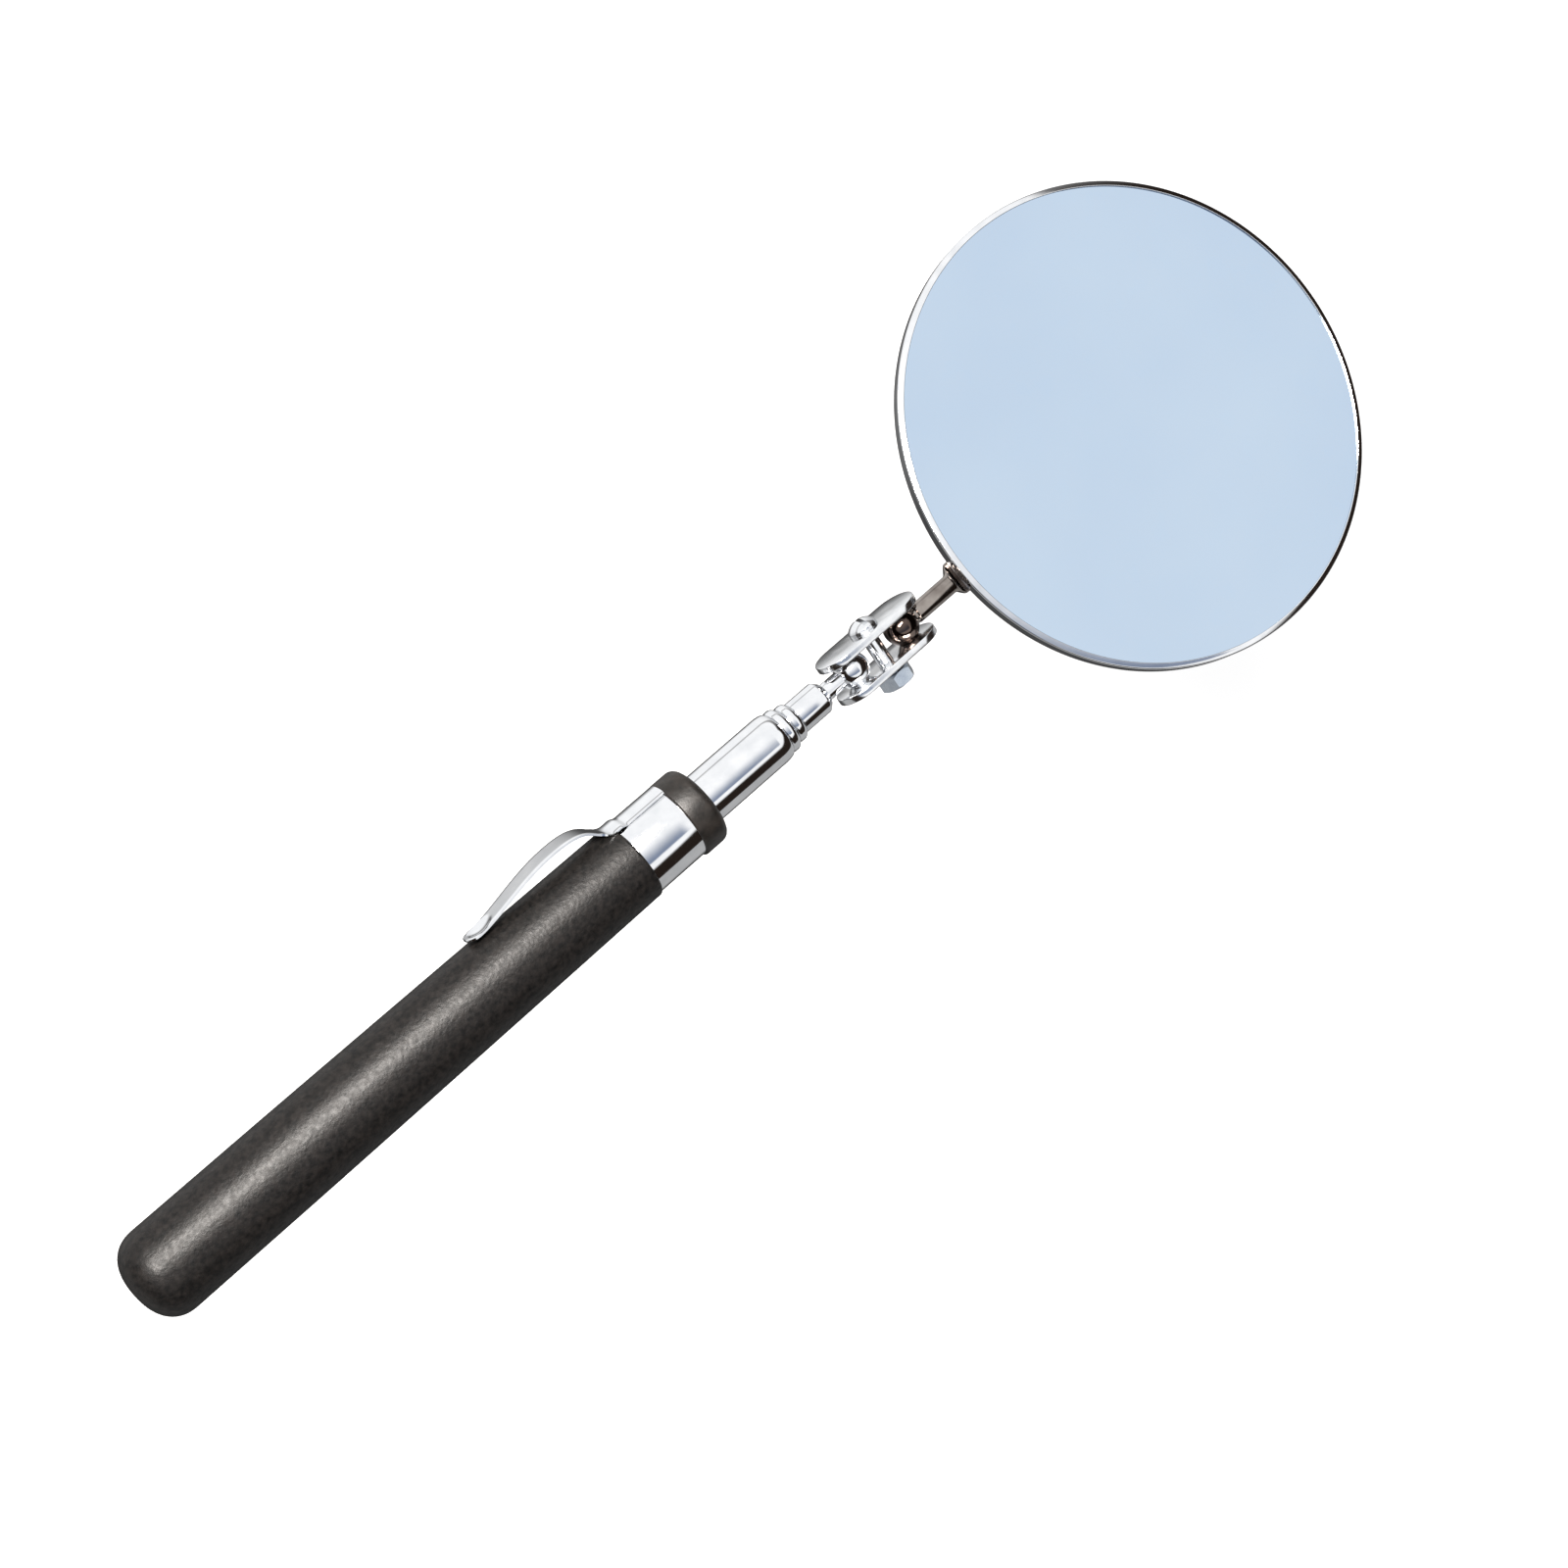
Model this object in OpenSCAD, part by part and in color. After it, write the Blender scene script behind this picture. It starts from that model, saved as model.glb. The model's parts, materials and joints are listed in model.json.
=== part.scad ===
// Telescoping inspection mirror: a dipped grip with a pocket clip, four nested rod
// sections, a two-plate ball link and a round mirror in a rolled steel frame.
// The rod lies along +X with the mirror at the +X end, its glass facing +Z.
// The origin is under the centre of the bounding box, level with the grip's underside.
// Lengths along the rod are counted from the grip's closed end.

/* [Grip] */
// Length of the dipped vinyl grip, closed end to mouth
grip_len = 93.2; // [91:0.1:95]
// Radius of the straight part of the grip, at the closed end
grip_r = 7; // [6.9:0.05:7.4]
// Radius of the grip at its mouth
grip_mouth_r = 6.65; // [6.6:0.05:6.8]
// Length of the straight part of the grip, rounded end included
grip_straight = 30; // [20:1:40]
// Corner radius of the closed end
grip_end_r = 5.2; // [4:0.1:5.6]

/* [Handle tube] */
// Outer radius of the steel handle tube inside the grip
tube_r = 5.9; // [5.8:0.05:5.95]
// Wall thickness of the handle tube
tube_wall = 0.5; // [0.4:0.05:0.6]
// Outer radius of the bright sleeve between grip and collar
sleeve_r = 6.35; // [6.3:0.05:6.4]
// Visible length of the bright sleeve
sleeve_len = 9; // [8.5:0.1:11]
// Outer radius of the black collar
collar_r = 6.75; // [6.7:0.05:7]
// Length of the black collar
collar_len = 4.8; // [4.4:0.1:6]

/* [Telescoping rod] */
// Outer radii of the four rod sections, widest first
section_r = [4.25, 3.65, 3.15, 2.7];
// Bore radii of the four rod sections
bore_r = [3.9, 3.35, 2.9, 2.4];
// Radii of the stop beads on the ends of the three moving sections
bead_r = [3.85, 3.35, 2.8];
// Length of the outer section that shows beyond the collar
rod_show = 14.2; // [13:0.1:18]
// Length of the rounded shoulder at the mouth of the outer section
shoulder_len = 2; // [1.6:0.1:2.4]
// Length of each stop bead
bead_len = 1.9; // [1.6:0.1:2.4]
// Length of the tip that shows beyond the last bead
tip_len = 6.3; // [5:0.1:7]
// Radial clearance where one section slides through the mouth of the next
slide_gap = 0.05; // [0.03:0.01:0.08]

/* [Ball link] */
// Radius of the two balls
ball_r = 3; // [2.9:0.05:3.1]
// Distance between the two ball centres
ball_pitch = 11; // [10.8:0.1:12]
// Distance from the rod's tip to the first ball centre
ball_reach = 6.1; // [6:0.1:8]
// Length of each link plate, over its round ends
plate_len = 20; // [19.6:0.1:20.6]
// Width of each link plate
plate_w = 8.4; // [7.6:0.1:8.6]
// Thickness of each link plate
plate_t = 1.2; // [1.1:0.05:1.4]
// Gap between the two link plates
plate_gap = 5; // [4.9:0.05:5.2]
// Angle that the link is turned about the rod
link_roll = 15; // [10:1:20]
// Radius of the clamp screw's shank
screw_r = 1.45; // [1.4:0.01:1.46]
// Width of the clamp nut across its flats
nut_af = 5.5; // [5.4:0.1:5.6]

/* [Mirror] */
// Outer diameter of the mirror frame
mirror_d = 83; // [78:0.5:88]
// Height of the mirror frame
frame_h = 2.8; // [2.7:0.1:3.2]
// Distance from the second ball centre to the frame's edge
stem_reach = 13.4; // [13:0.1:15]
// Radius of the mirror stem
stem_r = 1.6; // [1.55:0.05:1.8]

/* [Pocket clip] */
// Angle of the clip above the mirror's plane, about the rod
clip_roll = 18; // [10:1:25]
// Width of the clip's arm at its root
clip_w = 5.6; // [5:0.1:6]
// Thickness of the clip's arm
clip_t = 0.6; // [0.5:0.05:0.7]

/* [Hidden] */
$fn = 96;

// Stations along the rod
sleeve_end = grip_len + sleeve_len;
collar_end = sleeve_end + collar_len;
rod_end = collar_end + rod_show + shoulder_len;
bead_2_end = rod_end + bead_len;
bead_3_end = bead_2_end + bead_len;
tip_end = bead_3_end + tip_len;
ball_1 = tip_end + ball_reach;
ball_2 = ball_1 + ball_pitch;
link_mid = ball_1 + ball_pitch / 2;
mirror_r = mirror_d / 2;
frame_edge = ball_2 + stem_reach;
mirror_mid = frame_edge + mirror_r;
overall_len = frame_edge + mirror_d;

// Place of the rod's axis and of the closed end
axis_z = grip_r;
x_start = -overall_len / 2;

// Handle interior
grip_floor = 2.2;
tube_end = collar_end - 0.6;
tube_bore = tube_r - tube_wall;
collar_lap = 1;
rod_start = 14;

// Telescoping details
neck_len = 1.8;
end_gap = 0.05;
shim_len = 11.5;
shim_gap = 0.04;

// Ball link details
turn_gap = 0.05;
seat_gap = 0.03;
neck_r = 1.5;
washer_t = 0.7;
nut_t = 2.4;
plate_out = plate_gap / 2 + plate_t;
nut_in = plate_out + washer_t + 0.02;
screw_tip = nut_in + nut_t + 0.6;
head_r = 2.5;

// Mirror stack, from the frame's mid height
lip_t = 0.3;
lip_in = 0.85;
back_lip_in = 1.3;
frame_wall = 0.35;
plate_back = -frame_h / 2 + lip_t;
pad_back = plate_back + 0.4;
glass_back = pad_back + 0.2;
glass_front = frame_h / 2 - lip_t;
tab_w = 6;
tab_end = frame_edge + 12;
rivet_x = [frame_edge + 4.4, frame_edge + 8.8];
rivet_r = 1.1;

// Pocket clip details
strap_t = 0.35;
strap_half_angle = 26;
clip_root = grip_len - 1.35;
clip_tip = 65.7;

function arc(cx, cy, r, a0, a1, n = 8) =
    [for (i = [0:n]) let (a = a0 + (a1 - a0) * i / n) [cx + r * cos(a), cy + r * sin(a)]];

// One point of the cubic curve through the control points p
function cubic(p, t) =
    pow(1 - t, 3) * p[0] + 3 * t * pow(1 - t, 2) * p[1]
    + 3 * t * t * (1 - t) * p[2] + pow(t, 3) * p[3];

// A closed outline of thickness w along a line of points
function ribbon(line, w) =
    let (last = len(line) - 1,
         side = [for (i = [0:last])
             let (d = line[min(i + 1, last)] - line[max(i - 1, 0)], n = [-d[1], d[0]] / norm(d))
             n * w / 2])
    concat([for (i = [0:last]) line[i] + side[i]], [for (i = [last:-1:0]) line[i] - side[i]]);

// Turns a profile of [radius, distance from the closed end] about the rod's axis
module lathe(profile, from = 0, turn = 360) {
    translate([x_start, 0, axis_z]) rotate([0, 90, 0]) rotate([0, 0, from])
        rotate_extrude(angle = turn) polygon(profile);
}

// A frame on the rod's axis: x from the closed end, y sideways, z up, turned about the rod
module rolled(angle = 0) {
    translate([x_start, 0, axis_z]) rotate([angle, 0, 0]) children();
}

// A cylinder across the link, from y0 to y1
module across(x, y0, y1, r) {
    translate([x, y0, 0]) rotate([-90, 0, 0]) cylinder(h = y1 - y0, r = r);
}

module ring(r_in, r_out, u0, u1) {
    lathe([[r_in, u0], [r_out, u0], [r_out, u1], [r_in, u1]]);
}

// Handle -----------------------------------------------------------------

module grip_sleeve() {
    lip = 0.35;
    crown = 0.25;
    color("#2b2a29") lathe(concat(
        [[0, 0]],
        arc(grip_r - grip_end_r, grip_end_r + crown, grip_end_r, -90, 0),
        [[grip_r, grip_straight], [grip_mouth_r, grip_len - lip]],
        arc(grip_mouth_r - lip, grip_len - lip, lip, 15, 90, 4),
        [[tube_r, grip_len], [tube_r, grip_floor], [0, grip_floor]]));
}

module handle_tube() {
    color("silver") ring(tube_bore, tube_r, grip_floor, tube_end);
}

module end_plug() {
    plug_len = 6;
    wall = 1.5;
    color("dimgray") lathe([
        [0, grip_floor], [tube_bore, grip_floor], [tube_bore, grip_floor + plug_len],
        [tube_bore - wall, grip_floor + plug_len], [tube_bore - wall, grip_floor + wall],
        [0, grip_floor + wall]]);
}

module rear_bushing() {
    color("ivory") ring(section_r[0], tube_bore, rod_start, rod_start + 6);
}

module front_bushing() {
    color("ivory") ring(section_r[0], tube_bore, tube_end - 8, tube_end);
}

module clip_sleeve() {
    color("gainsboro") ring(tube_r, sleeve_r, grip_len, sleeve_end + collar_lap);
}

module collar_ring() {
    rear_round = 0.5;
    front_round = 1.4;
    color("#262525") lathe(concat(
        [[section_r[0] + 0.05, tube_end], [tube_r, tube_end],
         [tube_r, sleeve_end + collar_lap], [sleeve_r, sleeve_end + collar_lap],
         [sleeve_r, sleeve_end + 0.1]],
        arc(collar_r - rear_round, sleeve_end + rear_round, rear_round, -75, 0, 4),
        arc(collar_r - front_round, collar_end - front_round, front_round, 0, 90, 6),
        [[section_r[0] + 0.05, collar_end]]));
}

// The strap is bent round the sleeve and steps up over the grip's mouth
module clip_strap() {
    over = grip_mouth_r + 0.03;
    color("gainsboro") lathe([
        [sleeve_r, grip_len + 0.1], [sleeve_r, sleeve_end], [sleeve_r + strap_t, sleeve_end],
        [sleeve_r + strap_t, grip_len + 1.5], [over + 0.4, grip_len + 0.9],
        [over + 0.4, clip_root + 0.15], [over, clip_root + 0.15], [over, grip_len + 0.1]],
        from = 90 + clip_roll - strap_half_angle, turn = 2 * strap_half_angle);
}

// The arm springs up from the strap, arches over the grip and bears on it near its tip
module clip_arm() {
    root = [clip_root, 6.98];
    crest = [84.2, 9.8];
    toe = [70.2, 7.85];
    tip = [clip_tip, 7.75];
    steps = 8;
    line = concat(
        [for (i = [0:steps]) cubic([root, [clip_root - 2.5, 7.0], [clip_root - 1.1, 9.7], crest], i / steps)],
        [for (i = [1:steps]) cubic([crest, [79.0, 9.9], [75.0, 8.6], toe], i / steps)],
        [for (i = [1:3]) cubic([toe, [68.6, 7.6], [67.4, 7.5], tip], i / 3)]);
    pad_mid = [68.7, 8.9];
    pad_r = 1.98;
    tip_w = clip_w - 1;
    color("gainsboro") rolled(clip_roll) union() {
        intersection() {
            translate([0, 0, -clip_w / 2]) linear_extrude(clip_w) polygon(ribbon(line, clip_t));
            translate([0, 12, 0]) rotate([90, 0, 0]) linear_extrude(8) union() {
                polygon([
                    [clip_root + 1, clip_w / 2], [clip_root + 1, -clip_w / 2],
                    [clip_tip + tip_w / 2, -tip_w / 2], [clip_tip + tip_w / 2, tip_w / 2]]);
                translate([clip_tip + tip_w / 2, 0]) circle(r = tip_w / 2);
            }
        }
        // The dimple that bears on the grip
        intersection() {
            translate([pad_mid[0], pad_mid[1], 0]) sphere(r = pad_r);
            translate([pad_mid[0], 6.5, 0]) rotate([-90, 0, 0]) cylinder(h = 1.35, r = pad_r);
        }
    }
}

// Telescoping rod ----------------------------------------------------------

// Fixed in the handle, with a rounded shoulder whose mouth guides the next section
module section_1() {
    mouth = section_r[1] + slide_gap;
    lip_r = mouth + 0.22;
    neck = rod_end - neck_len;
    r = section_r[0];
    bend = r - lip_r;
    color("gainsboro") lathe([
        [bore_r[0], rod_start], [r, rod_start], [r, rod_end - shoulder_len],
        [r - 0.15 * bend, rod_end - 0.6 * shoulder_len],
        [r - 0.5 * bend, rod_end - 0.25 * shoulder_len],
        [lip_r, rod_end], [mouth, rod_end], [mouth, neck], [bore_r[0], neck - 0.3]]);
}

// A sliding section: a thin tube with a stop bead and a neck that guides the next one
module sliding_section(n, start, from, to) {
    mouth = section_r[n] + slide_gap;
    bead = bead_r[n - 2];
    round_r = (to - from) / 2 - 0.2;
    color("gainsboro") lathe(concat(
        [[bore_r[n - 1], start], [section_r[n - 1], start], [section_r[n - 1], from + end_gap]],
        arc(bead - round_r, from + end_gap + round_r, round_r, -60, 0, 4),
        arc(bead - round_r, to - round_r, round_r, 0, 70, 4),
        [[mouth, to], [mouth, from + 0.4], [bore_r[n - 1], from + 0.1]]));
}

module section_2() {
    sliding_section(2, rod_start + 6, rod_end, bead_2_end);
}

module section_3() {
    sliding_section(3, rod_start + 8, bead_2_end, bead_3_end);
}

// The innermost section ends in a chamfered tip that the ball stud turns in
module section_4() {
    chamfer = 0.9;
    tip_r = bead_r[2];
    bore = neck_r + turn_gap;
    wall = 0.9;
    color("gainsboro") lathe([
        [bore_r[3], rod_start + 10], [section_r[3], rod_start + 10],
        [section_r[3], bead_3_end + end_gap], [tip_r, bead_3_end + end_gap],
        [tip_r, tip_end - chamfer], [tip_r - 0.3, tip_end - 0.35 * chamfer],
        [tip_r - 0.8, tip_end], [bore, tip_end], [bore, tip_end - wall],
        [bore_r[3], tip_end - wall]]);
}

// A split brass sleeve that steadies the inner end of section n in the section before it
module shim(n) {
    start = rod_start + 2 + 2 * n + 0.5;
    r = section_r[n - 1];
    slit = 0.6;
    color("goldenrod") difference() {
        ring(r, bore_r[n - 2] - shim_gap, start, start + shim_len);
        rolled() translate([start - 1, -slit / 2, r - 1]) cube([shim_len + 2, slit, 2]);
    }
}

module tip_stop_plug() {
    color("goldenrod") ring(0.6, bore_r[3], tip_end - 8.3, tip_end - 4);
}

// Ball link ----------------------------------------------------------------

module rod_ball_stud() {
    head = 2.2;
    color("gainsboro") union() {
        lathe([[0, tip_end - 3.8], [head, tip_end - 3.8], [head, tip_end - 1],
               [neck_r, tip_end - 1], [neck_r, ball_1], [0, ball_1]]);
        rolled() translate([ball_1, 0, 0]) sphere(r = ball_r);
    }
}

// A plate with round ends, a dished seat for each ball and a hole for the clamp screw
module link_plate(side) {
    y0 = side > 0 ? plate_gap / 2 : -plate_out;
    straight = plate_len - plate_w;
    peep_r = 0.95;
    color("gainsboro") rolled(link_roll) difference() {
        translate([link_mid, y0 + plate_t, 0]) rotate([90, 0, 0]) linear_extrude(plate_t) union() {
            square([straight, plate_w], center = true);
            for (s = [-1, 1]) translate([s * straight / 2, 0]) circle(d = plate_w);
        }
        for (x = [ball_1, ball_2]) {
            translate([x, 0, 0]) sphere(r = ball_r + seat_gap);
            across(x, y0 - 1, y0 + plate_t + 1, peep_r);
        }
        across(link_mid, y0 - 1, y0 + plate_t + 1, screw_r + 0.1);
    }
}

module plate_upper() {
    link_plate(1);
}

module plate_lower() {
    link_plate(-1);
}

// A pan-head machine screw with a slotted head, its shank across both plates
module clamp_screw() {
    head_h = 1.9;
    edge_h = 0.7;
    slot_w = 0.7;
    slot_depth = 0.8;
    dome_r = (head_r * head_r + pow(head_h - edge_h, 2)) / (2 * (head_h - edge_h));
    color("gainsboro") rolled(link_roll) translate([link_mid, 0, 0]) difference() {
        union() {
            across(0, -screw_tip, plate_out, screw_r);
            across(0, plate_out, plate_out + edge_h, head_r);
            intersection() {
                translate([0, plate_out + head_h - dome_r, 0]) sphere(r = dome_r);
                across(0, plate_out, plate_out + head_h + 1, head_r);
            }
        }
        translate([-slot_w / 2, plate_out + head_h - slot_depth, -head_r - 1])
            cube([slot_w, 2, 2 * head_r + 2]);
    }
}

// A split spring washer under the nut
module lock_washer() {
    slit = 0.5;
    washer_r = 2.6;
    color("silver") rolled(link_roll) translate([link_mid, 0, 0]) difference() {
        across(0, -plate_out - washer_t, -plate_out, washer_r);
        across(0, -plate_out - 2, 0, screw_r + 0.15);
        translate([-slit / 2, -plate_out - 2, 0]) cube([slit, 3, washer_r + 1]);
    }
}

module clamp_nut() {
    corner_r = nut_af / 2 / cos(30);
    bevel = 0.35;
    color("silver") rolled(link_roll) translate([link_mid, -nut_in - nut_t, 0]) rotate([-90, 0, 0])
        difference() {
            intersection() {
                cylinder(h = nut_t, r = corner_r, $fn = 6);
                rotate_extrude() polygon([
                    [0, 0], [nut_af / 2, 0], [corner_r + 0.05, bevel],
                    [corner_r + 0.05, nut_t - bevel], [nut_af / 2, nut_t], [0, nut_t]]);
            }
            translate([0, 0, -1]) cylinder(h = nut_t + 2, r = screw_r + turn_gap);
        }
}

// Mirror head --------------------------------------------------------------

module mirror_ball() {
    depth = 1.6;
    color("rosybrown") rolled() difference() {
        translate([ball_2, 0, 0]) sphere(r = ball_r);
        translate([ball_2 - depth, 0, 0]) rotate([0, 90, 0])
            cylinder(h = depth + ball_r + 1, r = neck_r + turn_gap);
    }
}

// A round stem with a spigot in the ball, flattened into a tab under the mirror
module mirror_stem() {
    round_end = frame_edge - 1.7;
    tab_top = -frame_h / 2;
    tab_low = tab_top - 1;
    step = 0.3;
    block_half = 1.05;
    lip_end = frame_edge + back_lip_in + 0.2;
    color("gainsboro") rolled() union() {
        translate([ball_2 - 1.5, 0, 0]) rotate([0, 90, 0]) cylinder(h = 6, r = neck_r);
        translate([ball_2 + ball_r + 0.05, 0, 0]) rotate([0, 90, 0])
            cylinder(h = round_end - ball_2 - ball_r - 0.05, r = stem_r);
        difference() {
            intersection() {
                translate([0, tab_w / 2, 0]) rotate([90, 0, 0]) linear_extrude(tab_w) polygon([
                    [round_end - 1, -block_half], [round_end - 1, 0.9], [round_end, 0.8],
                    [frame_edge - 0.3, tab_top], [lip_end, tab_top],
                    [lip_end + step, tab_top + step], [tab_end, tab_top + step],
                    [tab_end, tab_low + step], [lip_end + step, tab_low + step],
                    [lip_end, tab_low], [round_end + 0.4, tab_low]]);
                translate([0, 0, -4]) linear_extrude(8) union() {
                    polygon([
                        [round_end - 1, block_half], [round_end - 1, -block_half],
                        [frame_edge + 1, -tab_w / 2], [tab_end - tab_w / 2, -tab_w / 2],
                        [tab_end - tab_w / 2, tab_w / 2], [frame_edge + 1, tab_w / 2]]);
                    translate([tab_end - tab_w / 2, 0]) circle(d = tab_w);
                }
            }
            for (x = rivet_x) translate([x, 0, -4]) cylinder(h = 4, r = rivet_r);
        }
    }
}

module stem_rivets() {
    under = -frame_h / 2 - 0.7;
    color("silver") rolled() for (x = rivet_x) translate([x, 0, 0]) rotate_extrude() polygon([
        [0, pad_back], [rivet_r, pad_back], [rivet_r, under], [1.9, under],
        [1.7, under - 0.4], [1.1, under - 0.65], [0, under - 0.7]]);
}

// The frame is a rolled ring whose lips hold the glass in front and the plate behind
module mirror_frame() {
    half = frame_h / 2;
    edge = 0.6;
    color("gainsboro") rolled() translate([mirror_mid, 0, 0]) rotate_extrude($fn = 180) polygon(concat(
        arc(mirror_r - edge, half - edge, edge, 0, 90, 6),
        [[mirror_r - lip_in + 0.1, half], [mirror_r - lip_in, half - 0.1],
         [mirror_r - lip_in, glass_front], [mirror_r - frame_wall, glass_front],
         [mirror_r - frame_wall, plate_back], [mirror_r - back_lip_in, plate_back],
         [mirror_r - back_lip_in, -half]],
        arc(mirror_r - edge, -half + edge, edge, -90, 0, 6)));
}

// A disc of the mirror head between two heights
module head_disc(r, z0, z1) {
    translate([mirror_mid, 0, z0]) cylinder(h = z1 - z0, r = r, $fn = 180);
}

module back_plate() {
    color("silver") rolled() difference() {
        head_disc(mirror_r - frame_wall, plate_back, pad_back);
        for (x = rivet_x) translate([x, 0, plate_back - 1]) cylinder(h = 3, r = rivet_r);
    }
}

module backing_pad() {
    color("white") rolled() head_disc(mirror_r - frame_wall - 0.2, pad_back, glass_back);
}

module mirror_glass() {
    color("lightsteelblue") rolled() head_disc(mirror_r - frame_wall - 0.05, glass_back, glass_front);
}

grip_sleeve();
handle_tube();
end_plug();
rear_bushing();
front_bushing();
clip_sleeve();
collar_ring();
clip_strap();
clip_arm();
section_1();
section_2();
shim(2);  // shim_2
section_3();
shim(3);  // shim_3
section_4();
shim(4);  // shim_4
tip_stop_plug();
rod_ball_stud();
plate_upper();
plate_lower();
clamp_screw();
lock_washer();
clamp_nut();
mirror_ball();
mirror_stem();
stem_rivets();
mirror_frame();
back_plate();
backing_pad();
mirror_glass();
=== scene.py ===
# %% [markdown]
# # A telescoping inspection mirror
#
# The object is a hand tool: a steel rod of four nested tubes slides out of a dipped
# black grip, and a small link with two balls carries a round mirror at its end.
# The lesson builds it round a fixed frame, a plain mechanical model that already has
# every part at its real size and place. Each piece made here reads its place from
# that frame, gets a real finish, and rides on the body that moves it.

# %% Open the frame
import json
import math

import bmesh
import bpy
from mathutils import Matrix, Vector


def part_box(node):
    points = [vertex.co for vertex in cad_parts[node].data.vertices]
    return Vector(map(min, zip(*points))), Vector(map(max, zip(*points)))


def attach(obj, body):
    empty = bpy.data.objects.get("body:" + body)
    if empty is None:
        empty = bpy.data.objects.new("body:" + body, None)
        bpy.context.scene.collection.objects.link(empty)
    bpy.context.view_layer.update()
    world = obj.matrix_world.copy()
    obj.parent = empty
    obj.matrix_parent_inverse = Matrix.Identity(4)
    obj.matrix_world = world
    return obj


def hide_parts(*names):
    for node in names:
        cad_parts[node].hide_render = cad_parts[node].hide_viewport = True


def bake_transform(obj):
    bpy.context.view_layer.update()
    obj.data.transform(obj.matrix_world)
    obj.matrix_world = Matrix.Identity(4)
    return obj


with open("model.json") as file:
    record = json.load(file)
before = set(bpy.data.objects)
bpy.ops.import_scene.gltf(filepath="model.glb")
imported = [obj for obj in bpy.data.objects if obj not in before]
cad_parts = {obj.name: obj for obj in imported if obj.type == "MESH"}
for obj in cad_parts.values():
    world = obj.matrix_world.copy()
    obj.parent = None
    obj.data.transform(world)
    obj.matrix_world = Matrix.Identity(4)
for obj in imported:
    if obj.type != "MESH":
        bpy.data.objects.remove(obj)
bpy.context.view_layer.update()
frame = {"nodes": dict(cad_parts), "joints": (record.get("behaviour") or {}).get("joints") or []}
MM = 0.001

# %% [markdown]
# ## Where things are
#
# Nearly every piece is round about the rod, so a place is easiest to give as a
# station: millimetres from the grip's closed end. The two balls are joint centres,
# and the record also holds the direction of the screw that clamps them.

# %% Stations along the rod
joints = {joint["name"]: joint for joint in frame["joints"]}
BALL_1 = Vector(joints["rod_ball_tilt"]["pos_m"])
BALL_2 = Vector(joints["mirror_ball_tilt"]["pos_m"])
SCREW_AXIS = Vector(joints["rod_ball_tilt"]["axis"]).normalized()
CLIP_HINGE = Vector(joints["clip_flex"]["pos_m"])
ALONG = Vector((1, 0, 0))
ROD_START = Vector((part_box("grip_sleeve")[0].x, 0, BALL_1.z))


def stations(node):
    """A node's first and last station, in millimetres from the grip's closed end."""
    low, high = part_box(node)
    return (low.x - ROD_START.x) / MM, (high.x - ROD_START.x) / MM


def radius_of(node):
    """The largest radius of a node that is round about the rod, in millimetres."""
    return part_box(node)[1].y / MM


grip_mouth = stations("grip_sleeve")[1]
collar_end = stations("collar_ring")[1]
section_ends = [stations(f"section_{n}")[1] for n in (1, 2, 3, 4)]
ball_1 = (BALL_1.x - ROD_START.x) / MM
ball_2 = (BALL_2.x - ROD_START.x) / MM
ball_r = stations("rod_ball_stud")[1] - ball_1
print(f"stations: grip {grip_mouth:.1f}, collar {collar_end:.1f}, balls {ball_1:.1f} {ball_2:.1f}")

# %% [markdown]
# ## The camera
#
# The tool is seen from almost straight above, with the rod running up to the right.
# A camera that looks steeply down has no natural upright, so it is given a roll
# about its own axis as well as the usual azimuth and elevation.

# %% Aim the camera
AZIMUTH, ELEVATION, ROLL = 103.66, 72.59, 62.88
DISTANCE = 334.9 * MM
TARGET = Vector((-4.44, -6.41, 7.0)) * MM

azimuth, elevation, roll = (math.radians(v) for v in (AZIMUTH, ELEVATION, ROLL))
forward = Vector((
    math.sin(azimuth) * math.cos(elevation),
    math.cos(azimuth) * math.cos(elevation),
    -math.sin(elevation),
))
level = Vector((math.cos(azimuth), -math.sin(azimuth), 0))
upright = level.cross(forward)
right = level * math.cos(roll) + upright * math.sin(roll)
above = upright * math.cos(roll) - level * math.sin(roll)

camera_data = bpy.data.cameras.new("studio_camera")
camera_data.lens = 50
camera_data.sensor_width = 36
camera_data.clip_start = 0.01
camera = bpy.data.objects.new("studio_camera", camera_data)
bpy.context.scene.collection.objects.link(camera)
place = Matrix((right, above, -forward)).transposed().to_4x4()
place.translation = TARGET - forward * DISTANCE
camera.matrix_world = place
bpy.context.scene.camera = camera
print("camera at", [round(v, 3) for v in place.translation])

# %% [markdown]
# ## Helpers for node trees
#
# Materials, the sky and Geometry Nodes are all node trees. One small function adds a
# node with its settings, its values and what feeds it, so that a tree reads as a list.
# Colours are written as on a paint chart, in sRGB, and Blender works in linear light,
# so one function converts them.

# %% Nodes and colours


def add(tree, kind, values=None, links=None, **settings):
    """Adds one node: its settings, the values of its sockets, and what feeds them."""
    made = tree.nodes.new(kind)
    for setting, value in settings.items():
        setattr(made, setting, value)
    for socket, value in (values or {}).items():
        made.inputs[socket].default_value = value
    for socket, source in (links or {}).items():
        tree.links.new(source if isinstance(source, bpy.types.NodeSocket) else source.outputs[0],
                       made.inputs[socket])
    return made


def colour(hex_code):
    """An sRGB hex colour such as #C8D8EA as linear red, green, blue and alpha."""
    shares = [int(hex_code[i:i + 2], 16) / 255 for i in (1, 3, 5)]
    linear = [s / 12.92 if s <= 0.04045 else ((s + 0.055) / 1.055) ** 2.4 for s in shares]
    return (*linear, 1)


print("mid grey is", round(colour("#808080")[0], 3), "in linear light")

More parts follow.
